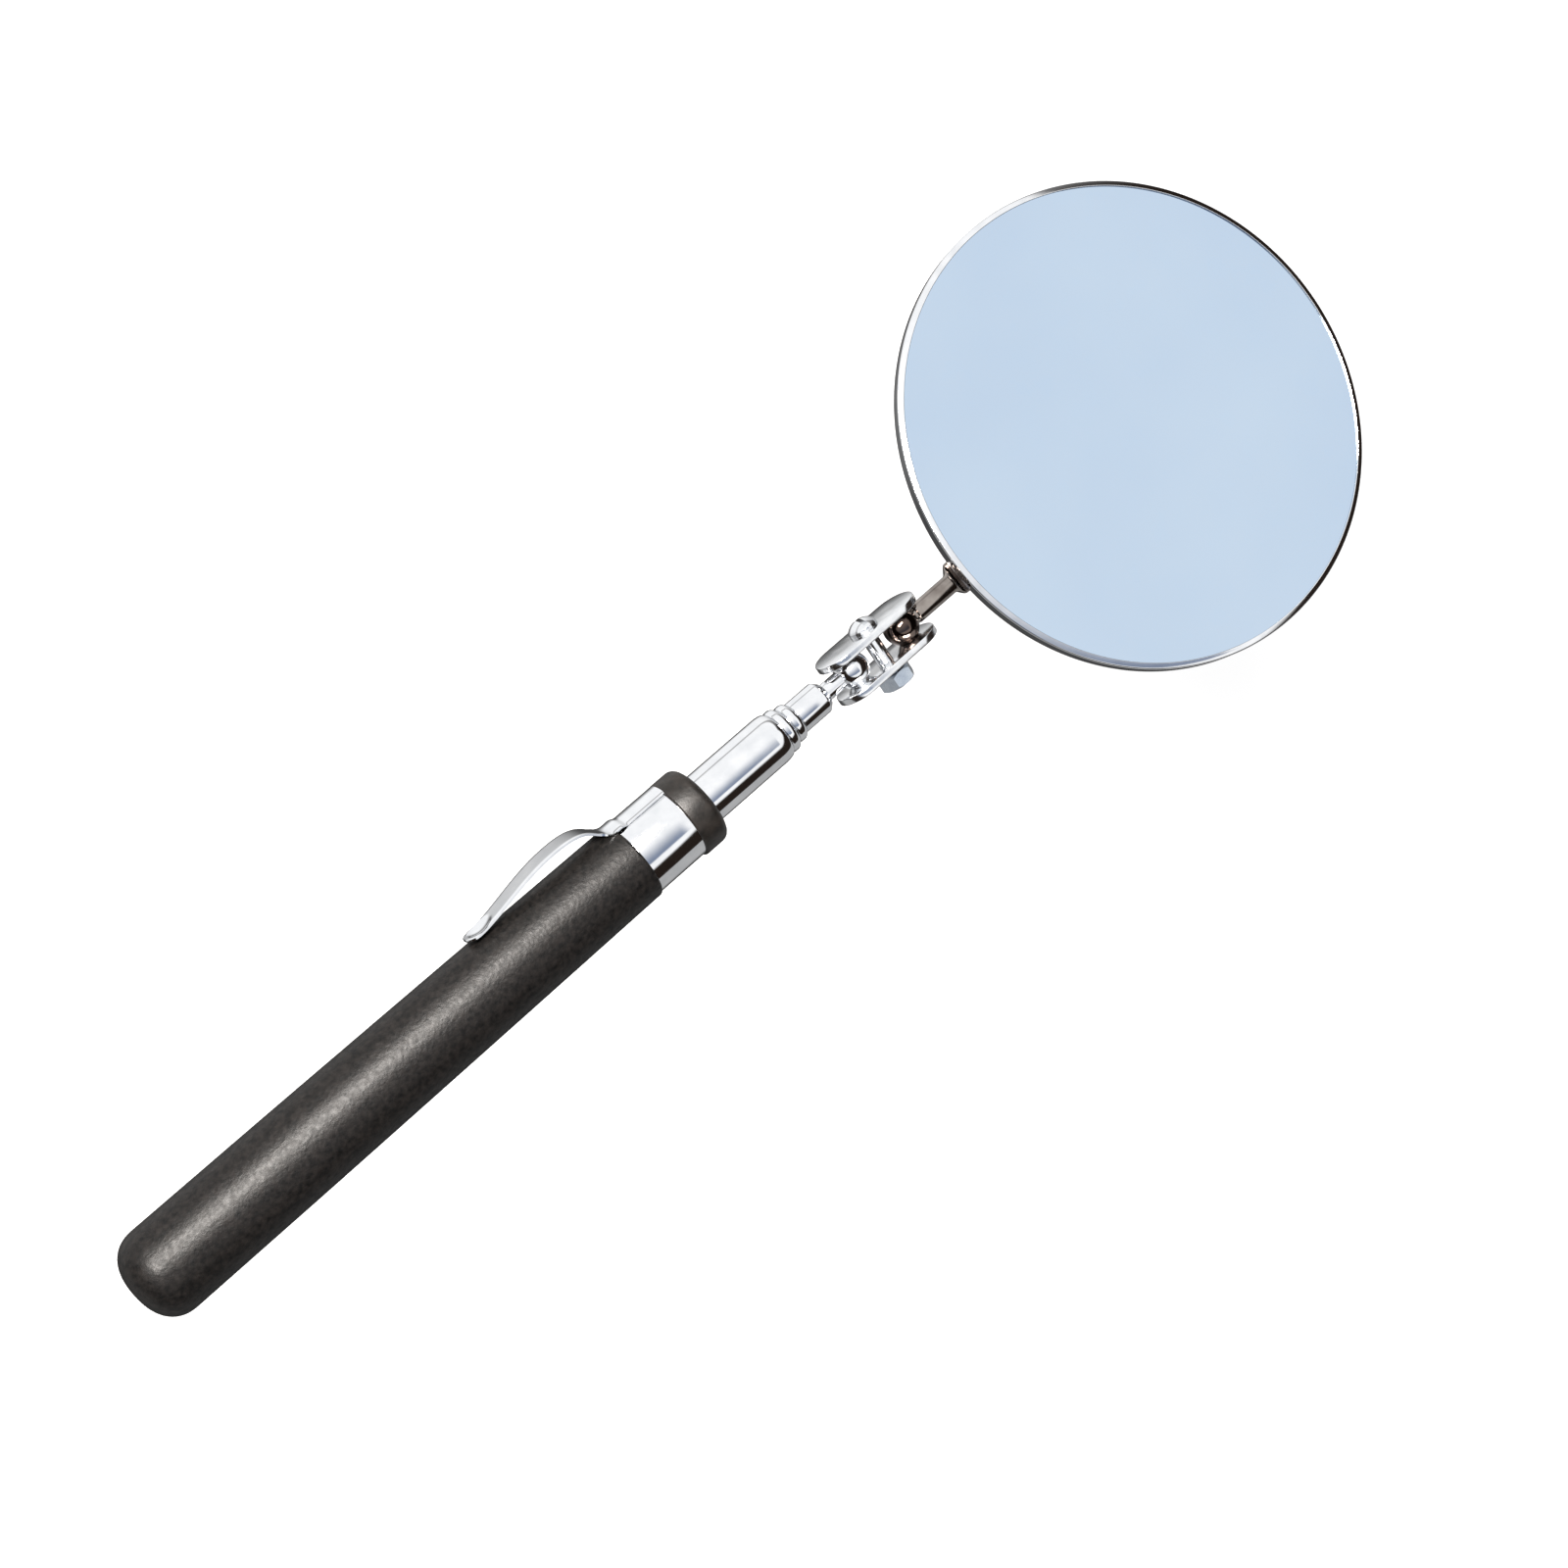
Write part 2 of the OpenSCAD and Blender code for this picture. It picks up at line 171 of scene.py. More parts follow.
# %% [markdown]
# ## The studio
#
# Bright chrome shows its surroundings and nothing else, so the surroundings are made
# with as much care as the metal. A product table has a white sweep below, a white
# ceiling, and dark gaps at the height of the horizon. The gaps draw the dark lines
# along a tube. A cool grey panel just off the ceiling's middle draws the soft stripe.
# The sky here is that room, worked out from the direction alone.

# %% The room that the metal mirrors
world = bpy.data.worlds.new("studio_room")
bpy.context.scene.world = world
world.use_nodes = True
room = world.node_tree
room.nodes.clear()
direction = add(room, "ShaderNodeTexCoord").outputs["Generated"]
axes = add(room, "ShaderNodeSeparateXYZ", links={0: direction})
DEGREES = 180 / math.pi


def calc(tree, operation, *terms):
    """One arithmetic node on sockets and plain numbers."""
    made = add(tree, "ShaderNodeMath", operation=operation)
    for i, term in enumerate(terms):
        if isinstance(term, (int, float)):
            made.inputs[i].default_value = term
        else:
            tree.links.new(term, made.inputs[i])
    return made.outputs[0]


def soft_step(tree, value, low, high, start=0.0, end=1.0):
    """Runs smoothly from start to end as value goes from low to high."""
    return add(tree, "ShaderNodeMapRange", interpolation_type="SMOOTHSTEP",
               values={"From Min": low, "From Max": high, "To Min": start, "To Max": end},
               links={"Value": value}).outputs[0]


height = calc(room, "MULTIPLY", calc(room, "ARCSINE", axes.outputs["Z"]), DEGREES)
flat = calc(room, "SQRT", calc(room, "SUBTRACT", 1.0,
                               calc(room, "MULTIPLY", axes.outputs["Z"], axes.outputs["Z"])))
to_left = calc(room, "DIVIDE", axes.outputs["Y"], calc(room, "MAXIMUM", flat, 0.001))
off_top = calc(room, "MULTIPLY",
               calc(room, "ARCTAN2", calc(room, "MULTIPLY", axes.outputs["Y"], -1.0),
                    axes.outputs["Z"]), DEGREES)

to_front = calc(room, "DIVIDE", axes.outputs["X"], calc(room, "MAXIMUM", flat, 0.001))

# The cool grey panel, just to the right of the ceiling's middle
panel = calc(room, "MULTIPLY", soft_step(room, off_top, -10.0, 34.0),
             soft_step(room, off_top, 39.0, 34.0))
panel = calc(room, "MULTIPLY", panel, soft_step(room, axes.outputs["X"], 0.35, 0.30))
ceiling = add(room, "ShaderNodeMix", data_type="RGBA",
              values={"A": (1.0, 1.0, 1.0, 1), "B": colour("#808BA0")},
              links={"Factor": panel}).outputs["Result"]

# The dark gap at the horizon is thin on the left and tall elsewhere, most of all in front
gap_top = calc(room, "ADD", soft_step(room, to_left, 0.35, 0.95, 36.0, 5.0),
               soft_step(room, to_front, 0.3, 0.9, 0.0, 12.0))
gap_depth = soft_step(room, to_left, 0.3, 0.95, 1.0, 0.6)
above_gap = soft_step(room, calc(room, "SUBTRACT", height, gap_top), -4.0, 4.0)
below_gap = soft_step(room, height, -4.0, 1.5, 1.0, 0.0)
outside_gap = calc(room, "MAXIMUM", above_gap, below_gap)
in_gap = calc(room, "MULTIPLY", gap_depth, calc(room, "SUBTRACT", 1.0, outside_gap))
walls = add(room, "ShaderNodeMix", data_type="RGBA", values={"B": colour("#251E1A")},
            links={"Factor": in_gap, "A": ceiling}).outputs["Result"]

# The table is white on the left, in shade elsewhere, and dark right under the tool
shade = calc(room, "MULTIPLY", soft_step(room, to_left, 1.0, 0.4),
             soft_step(room, height, 1.0, -4.0))
table_light = calc(room, "SUBTRACT", 1.0, calc(room, "MULTIPLY", shade, 0.58))
under_light = soft_step(room, height, -40.0, -62.0, 1.0, 0.15)

light = calc(room, "MULTIPLY", table_light, under_light)
sky = add(room, "ShaderNodeBackground", links={"Color": walls,
                                               "Strength": calc(room, "MULTIPLY", light, 1.15)})
add(room, "ShaderNodeOutputWorld", links={"Surface": sky})
print("room made of", len(room.nodes), "nodes")

# %% [markdown]
# ## Floor, backdrop and key light
#
# The tool is shown over a plain pale floor that runs up into a backdrop of the same
# tone. The floor lies well below, because the mirror swings under the rod when the
# link is bent. Both give off a little light, so that shadows stay faint, and neither
# is seen by the metal, which mirrors the room above instead. One wide softbox on the
# left gives the grip its long highlight.

# %% Sweep and softbox
FLOOR_DROP = 0.105
SWEEP_R = 3.0


def plain_white(name, glow, paint):
    """A matt white that gives off some light of its own."""
    made = bpy.data.materials.new(name)
    made.use_nodes = True
    tree = made.node_tree
    tree.nodes.clear()
    paper = add(tree, "ShaderNodeBsdfDiffuse", values={"Color": (paint, paint, paint, 1)})
    shine = add(tree, "ShaderNodeEmission", values={"Strength": glow})
    both = add(tree, "ShaderNodeAddShader", links={0: paper, 1: shine})
    add(tree, "ShaderNodeOutputMaterial", links={"Surface": both})
    return made


def stage_mesh(name, vertices, faces, material):
    """A mesh of the stage: the camera sees it and mirrors don't."""
    mesh = bpy.data.meshes.new(name)
    mesh.from_pydata(vertices, [], faces)
    mesh.materials.append(material)
    made = bpy.data.objects.new(name, mesh)
    bpy.context.scene.collection.objects.link(made)
    made.visible_glossy = False
    return made


stage_mesh(
    "floor",
    [(x * SWEEP_R, y * SWEEP_R, -FLOOR_DROP) for x, y in ((-1, -1), (1, -1), (1, 1), (-1, 1))],
    [(0, 1, 2, 3)], plain_white("pale_paper", 0.86, 0.2))
STEPS = 48
RINGS = [(math.cos(t), math.sin(t)) for t in (k * math.pi / 16 for k in range(8))]
DOME_R = SWEEP_R * 0.98
dome_points = [(DOME_R * c * math.cos(a), DOME_R * c * math.sin(a), DOME_R * s - FLOOR_DROP)
               for c, s in RINGS
               for a in (k * math.tau / STEPS for k in range(STEPS))]
dome_faces = [(r * STEPS + k, r * STEPS + (k + 1) % STEPS,
               (r + 1) * STEPS + (k + 1) % STEPS, (r + 1) * STEPS + k)
              for r in range(len(RINGS) - 1) for k in range(STEPS)]
backdrop = stage_mesh("backdrop", dome_points, dome_faces, plain_white("pale_backdrop", 0.98, 0))
backdrop.visible_diffuse = False
backdrop.visible_shadow = False

key_data = bpy.data.lights.new("left_softbox", "AREA")
key_data.shape = "RECTANGLE"
key_data.size = 0.30
key_data.size_y = 0.20
key_data.energy = 13
key_data.color = (1.0, 0.95, 0.90)
key = bpy.data.objects.new("left_softbox", key_data)
bpy.context.scene.collection.objects.link(key)
key_spot = Vector((-0.10, 0.19, 0.44))
key_aim = Vector((-0.07, 0, 0.007)) - key_spot
key.matrix_world = Matrix.Translation(key_spot) @ key_aim.to_track_quat("-Z", "Y").to_matrix().to_4x4()
bpy.context.scene.view_settings.view_transform = "Standard"
print("softbox", key_data.size, "x", key_data.size_y, "m")

# %% [markdown]
# ## Patterns at their real size
#
# No real surface is one even colour. A pattern here is a noise read from Object
# coordinates, which are metres on the object itself, so its grain stays the same size
# on every piece and doesn't slide when a part moves. Its size is given in millimetres,
# and a stretch along the rod turns grain into drawing or polishing marks.

# %% Grain and shader helpers


def grain(tree, size_mm, detail=2.0, stretch=(1, 1, 1)):
    """Noise between 0 and 1 whose lumps are about size_mm across."""
    here = add(tree, "ShaderNodeTexCoord").outputs["Object"]
    scale = tuple(1 / (size_mm * MM * s) for s in stretch)
    sized = add(tree, "ShaderNodeMapping", values={"Scale": scale}, links={"Vector": here})
    return add(tree, "ShaderNodeTexNoise", values={"Scale": 1.0, "Detail": detail},
               links={"Vector": sized}).outputs[0]


def spread(tree, value, low, high):
    """Turns the middle of a noise into the range from low to high."""
    return add(tree, "ShaderNodeMapRange",
               values={"From Min": 0.3, "From Max": 0.7, "To Min": low, "To Max": high},
               links={"Value": value}).outputs[0]


def new_finish(name, **settings):
    """A material with one Principled shader. Settings are its sockets' plain values."""
    made = bpy.data.materials.new(name)
    made.use_nodes = True
    tree = made.node_tree
    tree.nodes.clear()
    values = {socket.replace("_", " "): value for socket, value in settings.items()}
    shader = add(tree, "ShaderNodeBsdfPrincipled", values=values)
    add(tree, "ShaderNodeOutputMaterial", links={"Surface": shader})
    return made, tree, shader


def two_tone(tree, shader, dark, pale, pattern):
    """Colours the shader between two sRGB tones by a pattern."""
    mixed = add(tree, "ShaderNodeMix", data_type="RGBA",
                values={"A": colour(dark), "B": colour(pale)}, links={"Factor": pattern})
    tree.links.new(mixed.outputs["Result"], shader.inputs["Base Color"])


def relief(tree, shader, pattern, height_mm, strength=1.0):
    """Raises the surface by a pattern, height_mm from its lowest to its highest point."""
    bump = add(tree, "ShaderNodeBump", values={"Strength": strength, "Distance": height_mm * MM},
               links={"Height": pattern})
    tree.links.new(bump.outputs[0], shader.inputs["Normal"])


def vary_roughness(tree, shader, pattern, low, high):
    """Lets the roughness drift between two values by a pattern."""
    tree.links.new(spread(tree, pattern, low, high), shader.inputs["Roughness"])


print("patterns are given in millimetres")

# %% [markdown]
# ## Dipped vinyl
#
# The grip is soft vinyl: the warm tube is dipped in liquid plastisol, and the coat
# sets with a satin skin. It is nearly black, with a fine leathery grain that breaks the
# highlight up, and it is a little paler where hands have rubbed it. The collar is
# moulded nylon, a harder black with a finer texture from the spark-eroded mould.
# Real grain is about 0.1 mm, too fine to show, so it is drawn at 0.6 mm.

# %% Black finishes
vinyl, tree, shader = new_finish("dipped_vinyl", IOR=1.53, Specular_IOR_Level=0.15)
two_tone(tree, shader, "#050505", "#141211", spread(tree, grain(tree, 0.9, detail=3), 0, 1))
skin = grain(tree, 0.6, detail=4)
vary_roughness(tree, shader, grain(tree, 0.8, detail=2), 0.34, 0.50)
relief(tree, shader, skin, 0.06)

collar_black, tree, shader = new_finish("moulded_nylon_black", IOR=1.53, Specular_IOR_Level=0.25)
two_tone(tree, shader, "#0A0908", "#1A1715", spread(tree, grain(tree, 2.0), 0, 1))
vary_roughness(tree, shader, grain(tree, 0.8), 0.34, 0.46)
relief(tree, shader, grain(tree, 0.6, detail=3), 0.03)
print("blacks:", vinyl.name, collar_black.name)

# %% [markdown]
# ## Bright nickel-chrome
#
# The tubes are drawn steel, polished and plated with bright nickel under a flash of
# chrome. The plate is a near perfect mirror with a faint cool tint. Polishing leaves
# hairlines along the tube, which soften the edges of what it mirrors. The second ball
# has a warm brown tone of its own, darkened further as painted shade for the dark
# plates and screw it mirrors. The stem is a duller, warmer grey than the tubes.

# %% Plated finishes


def plated(name, dark, pale, smooth, rough, marks=(12, 1, 1)):
    """Polished plate: hairlines along the rod and slow changes of polish."""
    made, tree, shader = new_finish(name, Metallic=1.0)
    two_tone(tree, shader, dark, pale, spread(tree, grain(tree, 3.0), 0, 1))
    lines = grain(tree, 0.12, detail=2, stretch=marks)
    vary_roughness(tree, shader, lines, smooth, rough)
    relief(tree, shader, lines, 0.0006)
    return made


chrome = plated("nickel_chrome_plate", "#DFE1E4", "#EDEEF0", 0.05, 0.10)
flat_chrome = plated("nickel_chrome_on_plate", "#DFE1E4", "#F0F1F2", 0.10, 0.20)
# Painted shade: the second ball's dark base colour stands for the dark parts round it that it mirrors,
# over its own warm brown tone
brown_chrome_painted_shade = plated("ball_chrome_painted_shade", "#463B36", "#6E615A", 0.06, 0.12)
# The stem is a duller, warmer grey than the tubes
dull_warm_nickel = plated("dull_warm_nickel_stem", "#7B736E", "#A9A29C", 0.07, 0.14)
zinc = plated("zinc_plated_steel", "#B4BFCC", "#D3DAE2", 0.14, 0.26, (1, 1, 1))
steel = plated("drawn_steel", "#9A9DA0", "#B4B6B8", 0.24, 0.38)
brass = plated("drawn_brass", "#A9823C", "#C9A25A", 0.22, 0.34)
print("plated and drawn metals ready")

# %% [markdown]
# ## Plastics, foam and silvered glass
#
# Plain moulded plastics guide the rod inside the handle. The mirror is float glass,
# silvered on its back: a metal-like reflection seen through a pale blue-green sheet,
# with a second, weaker reflection from the polished front, which the coat stands for.
# A breath of haze, left by a thumb, is drawn in its roughness.

# %% Inner plastics and the mirror


def moulded(name, dark, pale, roughness, grain_mm):
    """A moulded plastic with a slight texture."""
    made, tree, shader = new_finish(name, IOR=1.49)
    two_tone(tree, shader, dark, pale, spread(tree, grain(tree, 3.0), 0, 1))
    vary_roughness(tree, shader, grain(tree, 1.0), roughness - 0.05, roughness + 0.05)
    relief(tree, shader, grain(tree, grain_mm), 0.01)
    return made


nylon = moulded("moulded_nylon_natural", "#D9D3C2", "#E6E1D3", 0.45, 0.4)
dark_plastic = moulded("moulded_polythene", "#2C2C2E", "#3A3A3C", 0.5, 0.4)
foam = moulded("foam_sheet", "#DCDCD6", "#EAEAE6", 0.9, 0.6)

silver, tree, shader = new_finish(
    "silvered_float_glass", Metallic=1.0, Coat_Weight=0.25, Coat_Roughness=0.01, Coat_IOR=1.5)
two_tone(tree, shader, "#B4C7DC", "#B9CBDE", spread(tree, grain(tree, 30.0), 0, 1))
vary_roughness(tree, shader, grain(tree, 6.0, stretch=(1, 1, 4)), 0.015, 0.03)
print("mirror finish:", silver.name)

# %% [markdown]
# ## Turning parts on a lathe
#
# Most of the tool is turned or drawn: one outline, spun about an axis. A Geometry Nodes
# tree does the spinning. It takes the outline as a string of points, lays a grid with
# a row for each point, and bends every row into a circle. The seam and the poles are
# welded, edges sharper than a set angle stay crisp, and the result turns to its axis.
# One tree then makes every turned part, each with its own sizes.

# %% The lathe tree


def new_tree(name, sockets):
    """An empty Geometry Nodes tree with its named inputs, and its input node."""
    tree = bpy.data.node_groups.new(name, "GeometryNodeTree")
    tree.interface.new_socket("Geometry", in_out="INPUT", socket_type="NodeSocketGeometry")
    for label, kind in sockets.items():
        tree.interface.new_socket(label, in_out="INPUT", socket_type="NodeSocket" + kind)
    tree.interface.new_socket("Geometry", in_out="OUTPUT", socket_type="NodeSocketGeometry")
    return tree, add(tree, "NodeGroupInput").outputs


def end_tree(tree, shape, given):
    """Creases the sharp edges, makes instances real and sets the finish."""
    angle = add(tree, "GeometryNodeInputMeshEdgeAngle").outputs[0]
    sharp = add(tree, "FunctionNodeCompare", data_type="FLOAT", operation="GREATER_THAN",
                links={0: angle, 1: given["Crease angle"]})
    real = add(tree, "GeometryNodeRealizeInstances", links={0: shape})
    smooth = add(tree, "GeometryNodeSetShadeSmooth", domain="FACE", links={0: real})
    creased = add(tree, "GeometryNodeSetShadeSmooth", domain="EDGE",
                  values={"Shade Smooth": False}, links={0: smooth, "Selection": sharp})
    done = add(tree, "GeometryNodeSetMaterial", links={0: creased, "Material": given["Finish"]})
    add(tree, "NodeGroupOutput", links={0: done})


lathe, given = new_tree("lathe", {
    "Segments": "Int", "Axis": "Vector", "Centre": "Vector", "Crease angle": "Float",
    "Finish": "Material"})
rows = add(lathe, "GeometryNodeAttributeDomainSize", links={0: given["Geometry"]}).outputs[0]
columns = calc(lathe, "ADD", given["Segments"], 1)
grid = add(lathe, "GeometryNodeMeshGrid", links={"Vertices X": rows, "Vertices Y": columns})
index = add(lathe, "GeometryNodeInputIndex").outputs[0]
row = calc(lathe, "FLOOR", calc(lathe, "DIVIDE", calc(lathe, "ADD", index, 0.25), columns))
column = calc(lathe, "SUBTRACT", index, calc(lathe, "MULTIPLY", row, columns))
outline = add(lathe, "GeometryNodeSampleIndex", data_type="FLOAT_VECTOR", domain="POINT",
              links={0: given["Geometry"], "Value": add(lathe, "GeometryNodeInputPosition"),
                     "Index": row})
point = add(lathe, "ShaderNodeSeparateXYZ", links={0: outline})
turn = calc(lathe, "MULTIPLY", calc(lathe, "DIVIDE", column, given["Segments"]), math.tau)
spun = add(lathe, "ShaderNodeCombineXYZ", links={
    0: calc(lathe, "MULTIPLY", point.outputs["X"], calc(lathe, "COSINE", turn)),
    1: calc(lathe, "MULTIPLY", point.outputs["X"], calc(lathe, "SINE", turn)),
    2: point.outputs["Z"]})
bent = add(lathe, "GeometryNodeSetPosition", links={0: grid, "Position": spun})
welded = add(lathe, "GeometryNodeMergeByDistance", values={"Distance": 2e-6}, links={0: bent})
aim = add(lathe, "FunctionNodeAlignRotationToVector", axis="Z", links={"Vector": given["Axis"]})
turned_round = add(lathe, "GeometryNodeTransform", links={
    0: welded, "Translation": given["Centre"], "Rotation": aim})
end_tree(lathe, turned_round, given)
print("lathe tree:", len(lathe.nodes), "nodes")

# %% [markdown]
# ## From a tree to a finished piece
#
# The tree runs as a modifier on a throwaway object. Its result is copied out as a plain
# mesh, which keeps the piece simple to move and to export. A closed shell has its faces
# turned outwards by a check on its volume. Then the piece rides on its body and stands in
# for the plain part of the frame that it replaces.

# %% Piece helpers


def outward(mesh):
    """Welds, closes and turns a mesh's faces outwards, and returns its volume in mm3."""
    work = bmesh.new()
    work.from_mesh(mesh)
    bmesh.ops.remove_doubles(work, verts=work.verts, dist=1e-6)
    bmesh.ops.dissolve_degenerate(work, edges=work.edges, dist=1e-7)
    bmesh.ops.recalc_face_normals(work, faces=work.faces)
    if work.calc_volume(signed=True) < 0:
        bmesh.ops.reverse_faces(work, faces=work.faces)
    volume = work.calc_volume(signed=True) / MM ** 3
    work.to_mesh(mesh)
    work.free()
    return volume


def mount(mesh, name, body, slot, *nodes):
    """Makes a mesh a piece: it rides on a body and replaces frame nodes. slot is not used."""
    volume = outward(mesh)
    mesh.name = name
    made = bpy.data.objects.new(name, mesh)
    bpy.context.scene.collection.objects.link(made)
    if isinstance(body, str):
        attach(made, body)
    if nodes:
        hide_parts(*nodes)
    print(f"{name}: {len(mesh.polygons)} faces, {volume:.1f} mm3")
    return made


def run_tree(tree, mesh, **sizes):
    """Runs a Geometry Nodes tree on a mesh and returns the result as a plain mesh."""
    holder = bpy.data.objects.new("holder", mesh)
    bpy.context.scene.collection.objects.link(holder)
    modifier = holder.modifiers.new("tree", "NODES")
    modifier.node_group = tree
    named = {s.name: s.identifier for s in tree.interface.items_tree if s.in_out == "INPUT"}
    for label, value in sizes.items():
        modifier[named[label.replace("_", " ")]] = value
    scene_now = bpy.context.evaluated_depsgraph_get()
    made = bpy.data.meshes.new_from_object(holder.evaluated_get(scene_now))
    bpy.data.objects.remove(holder)
    return made


def arc(x, r, size, start, end, steps=8):
    """Points of an arc about (x, r): 0 degrees points along +x and 90 along +r."""
    angles = [math.radians(start + (end - start) * k / steps) for k in range(steps + 1)]
    return [(x + size * math.cos(a), r + size * math.sin(a)) for a in angles]


def soften(corners, steps=5):
    """Rounds a closed outline's corners. Each is (x, r, size of its rounding)."""
    line = []
    for i, (x, r, size) in enumerate(corners):
        here = Vector((x, r))
        if not size:
            line.append((x, r))
            continue
        before = (Vector(corners[i - 1][:2]) - here).normalized()
        after = (Vector(corners[(i + 1) % len(corners)][:2]) - here).normalized()
        half = before.angle(after) / 2
        centre = here + (before + after).normalized() * (size / math.sin(half))
        first = here + before * (size / math.tan(half)) - centre
        last = here + after * (size / math.tan(half)) - centre
        bend = first.angle(last)
        for k in range(steps + 1):
            share = k / steps
            swung = (first * math.sin((1 - share) * bend) + last * math.sin(share * bend))
            line.append(tuple(centre + swung / math.sin(bend)))
    return line + line[:1]


def outline_mesh(line):
    """A string of (station, radius) points in millimetres as a mesh for the lathe."""
    mesh = bpy.data.meshes.new("outline")
    edges = [(i, i + 1) for i in range(len(line) - 1)]
    mesh.from_pydata([(r * MM, 0, x * MM) for x, r in line], edges, [])
    return mesh


def turned(line, finish, axis=ALONG, centre=ROD_START, segments=128, crease=32):
    """Spins an outline about an axis and returns the mesh."""
    return run_tree(lathe, outline_mesh(line), Segments=segments, Axis=tuple(axis),
                    Centre=tuple(centre), Crease_angle=math.radians(crease), Finish=finish)


print("ready to turn parts")

# %% [markdown]
# ## The grip
#
# The grip is a closed vinyl sock over a steel tube. Its end is a squared-off dome, drawn
# as a superellipse: a circle's formula with a higher power, which flattens the crown and
# keeps one smooth curve. The body narrows very slightly towards the mouth, as a dipped
# coat does where it was thinner. The wall is real: the outline runs in at the mouth and
# back along the bore, so that the piece is a closed solid.

# %% Turn the grip
GRIP_MOUTH_R = 6.65
END_LENGTH = 5.45
END_POWER = 2.35
TUBE_R = 5.9
GRIP_FLOOR = 2.2
grip_r = radius_of("grip_sleeve")
closed_end = [(END_LENGTH * (1 - math.cos(a) ** (2 / END_POWER)),
               grip_r * math.sin(a) ** (2 / END_POWER))
              for a in (math.radians(90 * k / 32) for k in range(32))] + [(END_LENGTH, grip_r)]
TAPER_FROM = 26
taper = []
for k in range(1, 25):
    share = k / 24
    x = TAPER_FROM + (grip_mouth - 0.4 - TAPER_FROM) * share
    taper.append((x, grip_r - (grip_r - GRIP_MOUTH_R) * (share - 0.08 * math.sin(math.pi * share))))
mouth = arc(grip_mouth - 0.4, GRIP_MOUTH_R - 0.4, 0.4, 80, 0, 6)
bore = [(grip_mouth, TUBE_R), (GRIP_FLOOR, TUBE_R), (GRIP_FLOOR, 0)]
mount(turned(closed_end + taper + mouth + bore, vinyl), "grip", "handle", "vinyl",
      "grip_sleeve")

# %% [markdown]
# ## The sleeve and the collar
#
# A short bright sleeve closes the joint between the grip and the black collar. It is
# rolled plate, so it is a plain ring with a broken edge. The collar is a moulded cap:
# its back edge laps the sleeve, and its front edge has a generous round before it runs
# in flat to the rod.

# %% Turn the sleeve and the collar
sleeve_r = radius_of("clip_sleeve")
sleeve_end = stations("clip_sleeve")[1]
sleeve_line = soften([
    (grip_mouth, TUBE_R, 0), (grip_mouth, sleeve_r, 0.08), (sleeve_end, sleeve_r, 0.08),
    (sleeve_end, TUBE_R, 0)])
mount(turned(sleeve_line, chrome), "bright_sleeve", "handle", "chrome", "clip_sleeve")

collar_start = stations("collar_ring")[0]
collar_r = radius_of("collar_ring")
rod_r = radius_of("section_1")
TUBE_STOP = 0.6
collar_line = soften([
    (collar_end - TUBE_STOP, rod_r + 0.05, 0), (collar_end - TUBE_STOP, TUBE_R, 0),
    (sleeve_end, TUBE_R, 0), (sleeve_end, sleeve_r, 0), (collar_start, sleeve_r, 0),
    (collar_start, collar_r, 0.4), (collar_end, collar_r, 1.4), (collar_end, rod_r + 0.05, 0.12)])
mount(turned(collar_line, collar_black), "collar", "handle", "collar_black", "collar_ring")

# %% [markdown]
# ## The telescoping tubes
#
# Each section is a thin tube drawn to a size that just slides in the one before. The
# widest is swaged in at its mouth to a soft shoulder. The second and third each end in
# a rolled bead, which stops them at the mouth and shows as a ring. The last one ends in
# a thicker nose with a chamfer, which holds the neck of the ball.

# %% Draw the four sections
SECTION_R = [4.25, 3.65, 3.15, 2.7]
BORE_R = [3.9, 3.35, 2.9, 2.4]
SLIDE_GAP = 0.05
section_starts = [stations(f"section_{n}")[0] for n in (1, 2, 3, 4)]
rod_end, bead_2_end, bead_3_end, tip_end = section_ends

SHOULDER = 2.0
mouth_r = SECTION_R[1] + SLIDE_GAP
shoulder_drop = SECTION_R[0] - mouth_r - 0.14
shoulder = [(rod_end - SHOULDER + SHOULDER * math.sin(a),
             SECTION_R[0] - shoulder_drop * (1 - math.cos(a)))
            for a in (math.radians(90 * k / 10) for k in range(11))]
section_1_line = [(section_starts[0], BORE_R[0]), (section_starts[0], SECTION_R[0])]
section_1_line += shoulder + [(rod_end, mouth_r), (rod_end - 1.8, mouth_r),
                              (rod_end - 2.1, BORE_R[0]), (section_starts[0], BORE_R[0])]
mount(turned(section_1_line, chrome), "rod_section_1", "handle", "chrome", "section_1")


def beaded_tube(n, bead_start, bead_end):
    """Section n: a sliding tube that ends in a rolled stop bead."""
    start, outer, inner = section_starts[n - 1], SECTION_R[n - 1], BORE_R[n - 1]
    bead_r = radius_of(f"section_{n}")
    guide = SECTION_R[n] + SLIDE_GAP
    line = soften([
        (start, inner, 0), (start, outer, 0.08), (bead_start + 0.05, outer, 0),
        (bead_start + 0.05, bead_r, 0.55), (bead_end, bead_r, 0.8), (bead_end, guide, 0.06),
        (bead_start + 0.4, guide, 0), (bead_start + 0.1, inner, 0)], steps=8)
    mount(turned(line, chrome), f"rod_section_{n}", f"rod_{n}", "chrome", f"section_{n}")


beaded_tube(2, rod_end, bead_2_end)
beaded_tube(3, bead_2_end, bead_3_end)

NECK_R = 1.5
NECK_GAP = 0.05
nose_r = radius_of("section_4")
section_4_line = soften([
    (section_starts[3], BORE_R[3], 0), (section_starts[3], SECTION_R[3], 0.06),
    (bead_3_end + 0.05, SECTION_R[3], 0), (bead_3_end + 0.05, nose_r, 0.12),
    (tip_end - 0.9, nose_r, 0.5), (tip_end, nose_r - 0.8, 0.15), (tip_end, NECK_R + NECK_GAP, 0.1),
    (tip_end - 0.9, NECK_R + NECK_GAP, 0), (tip_end - 0.9, BORE_R[3], 0)])
mount(turned(section_4_line, chrome), "rod_section_4", "rod_4", "chrome", "section_4")

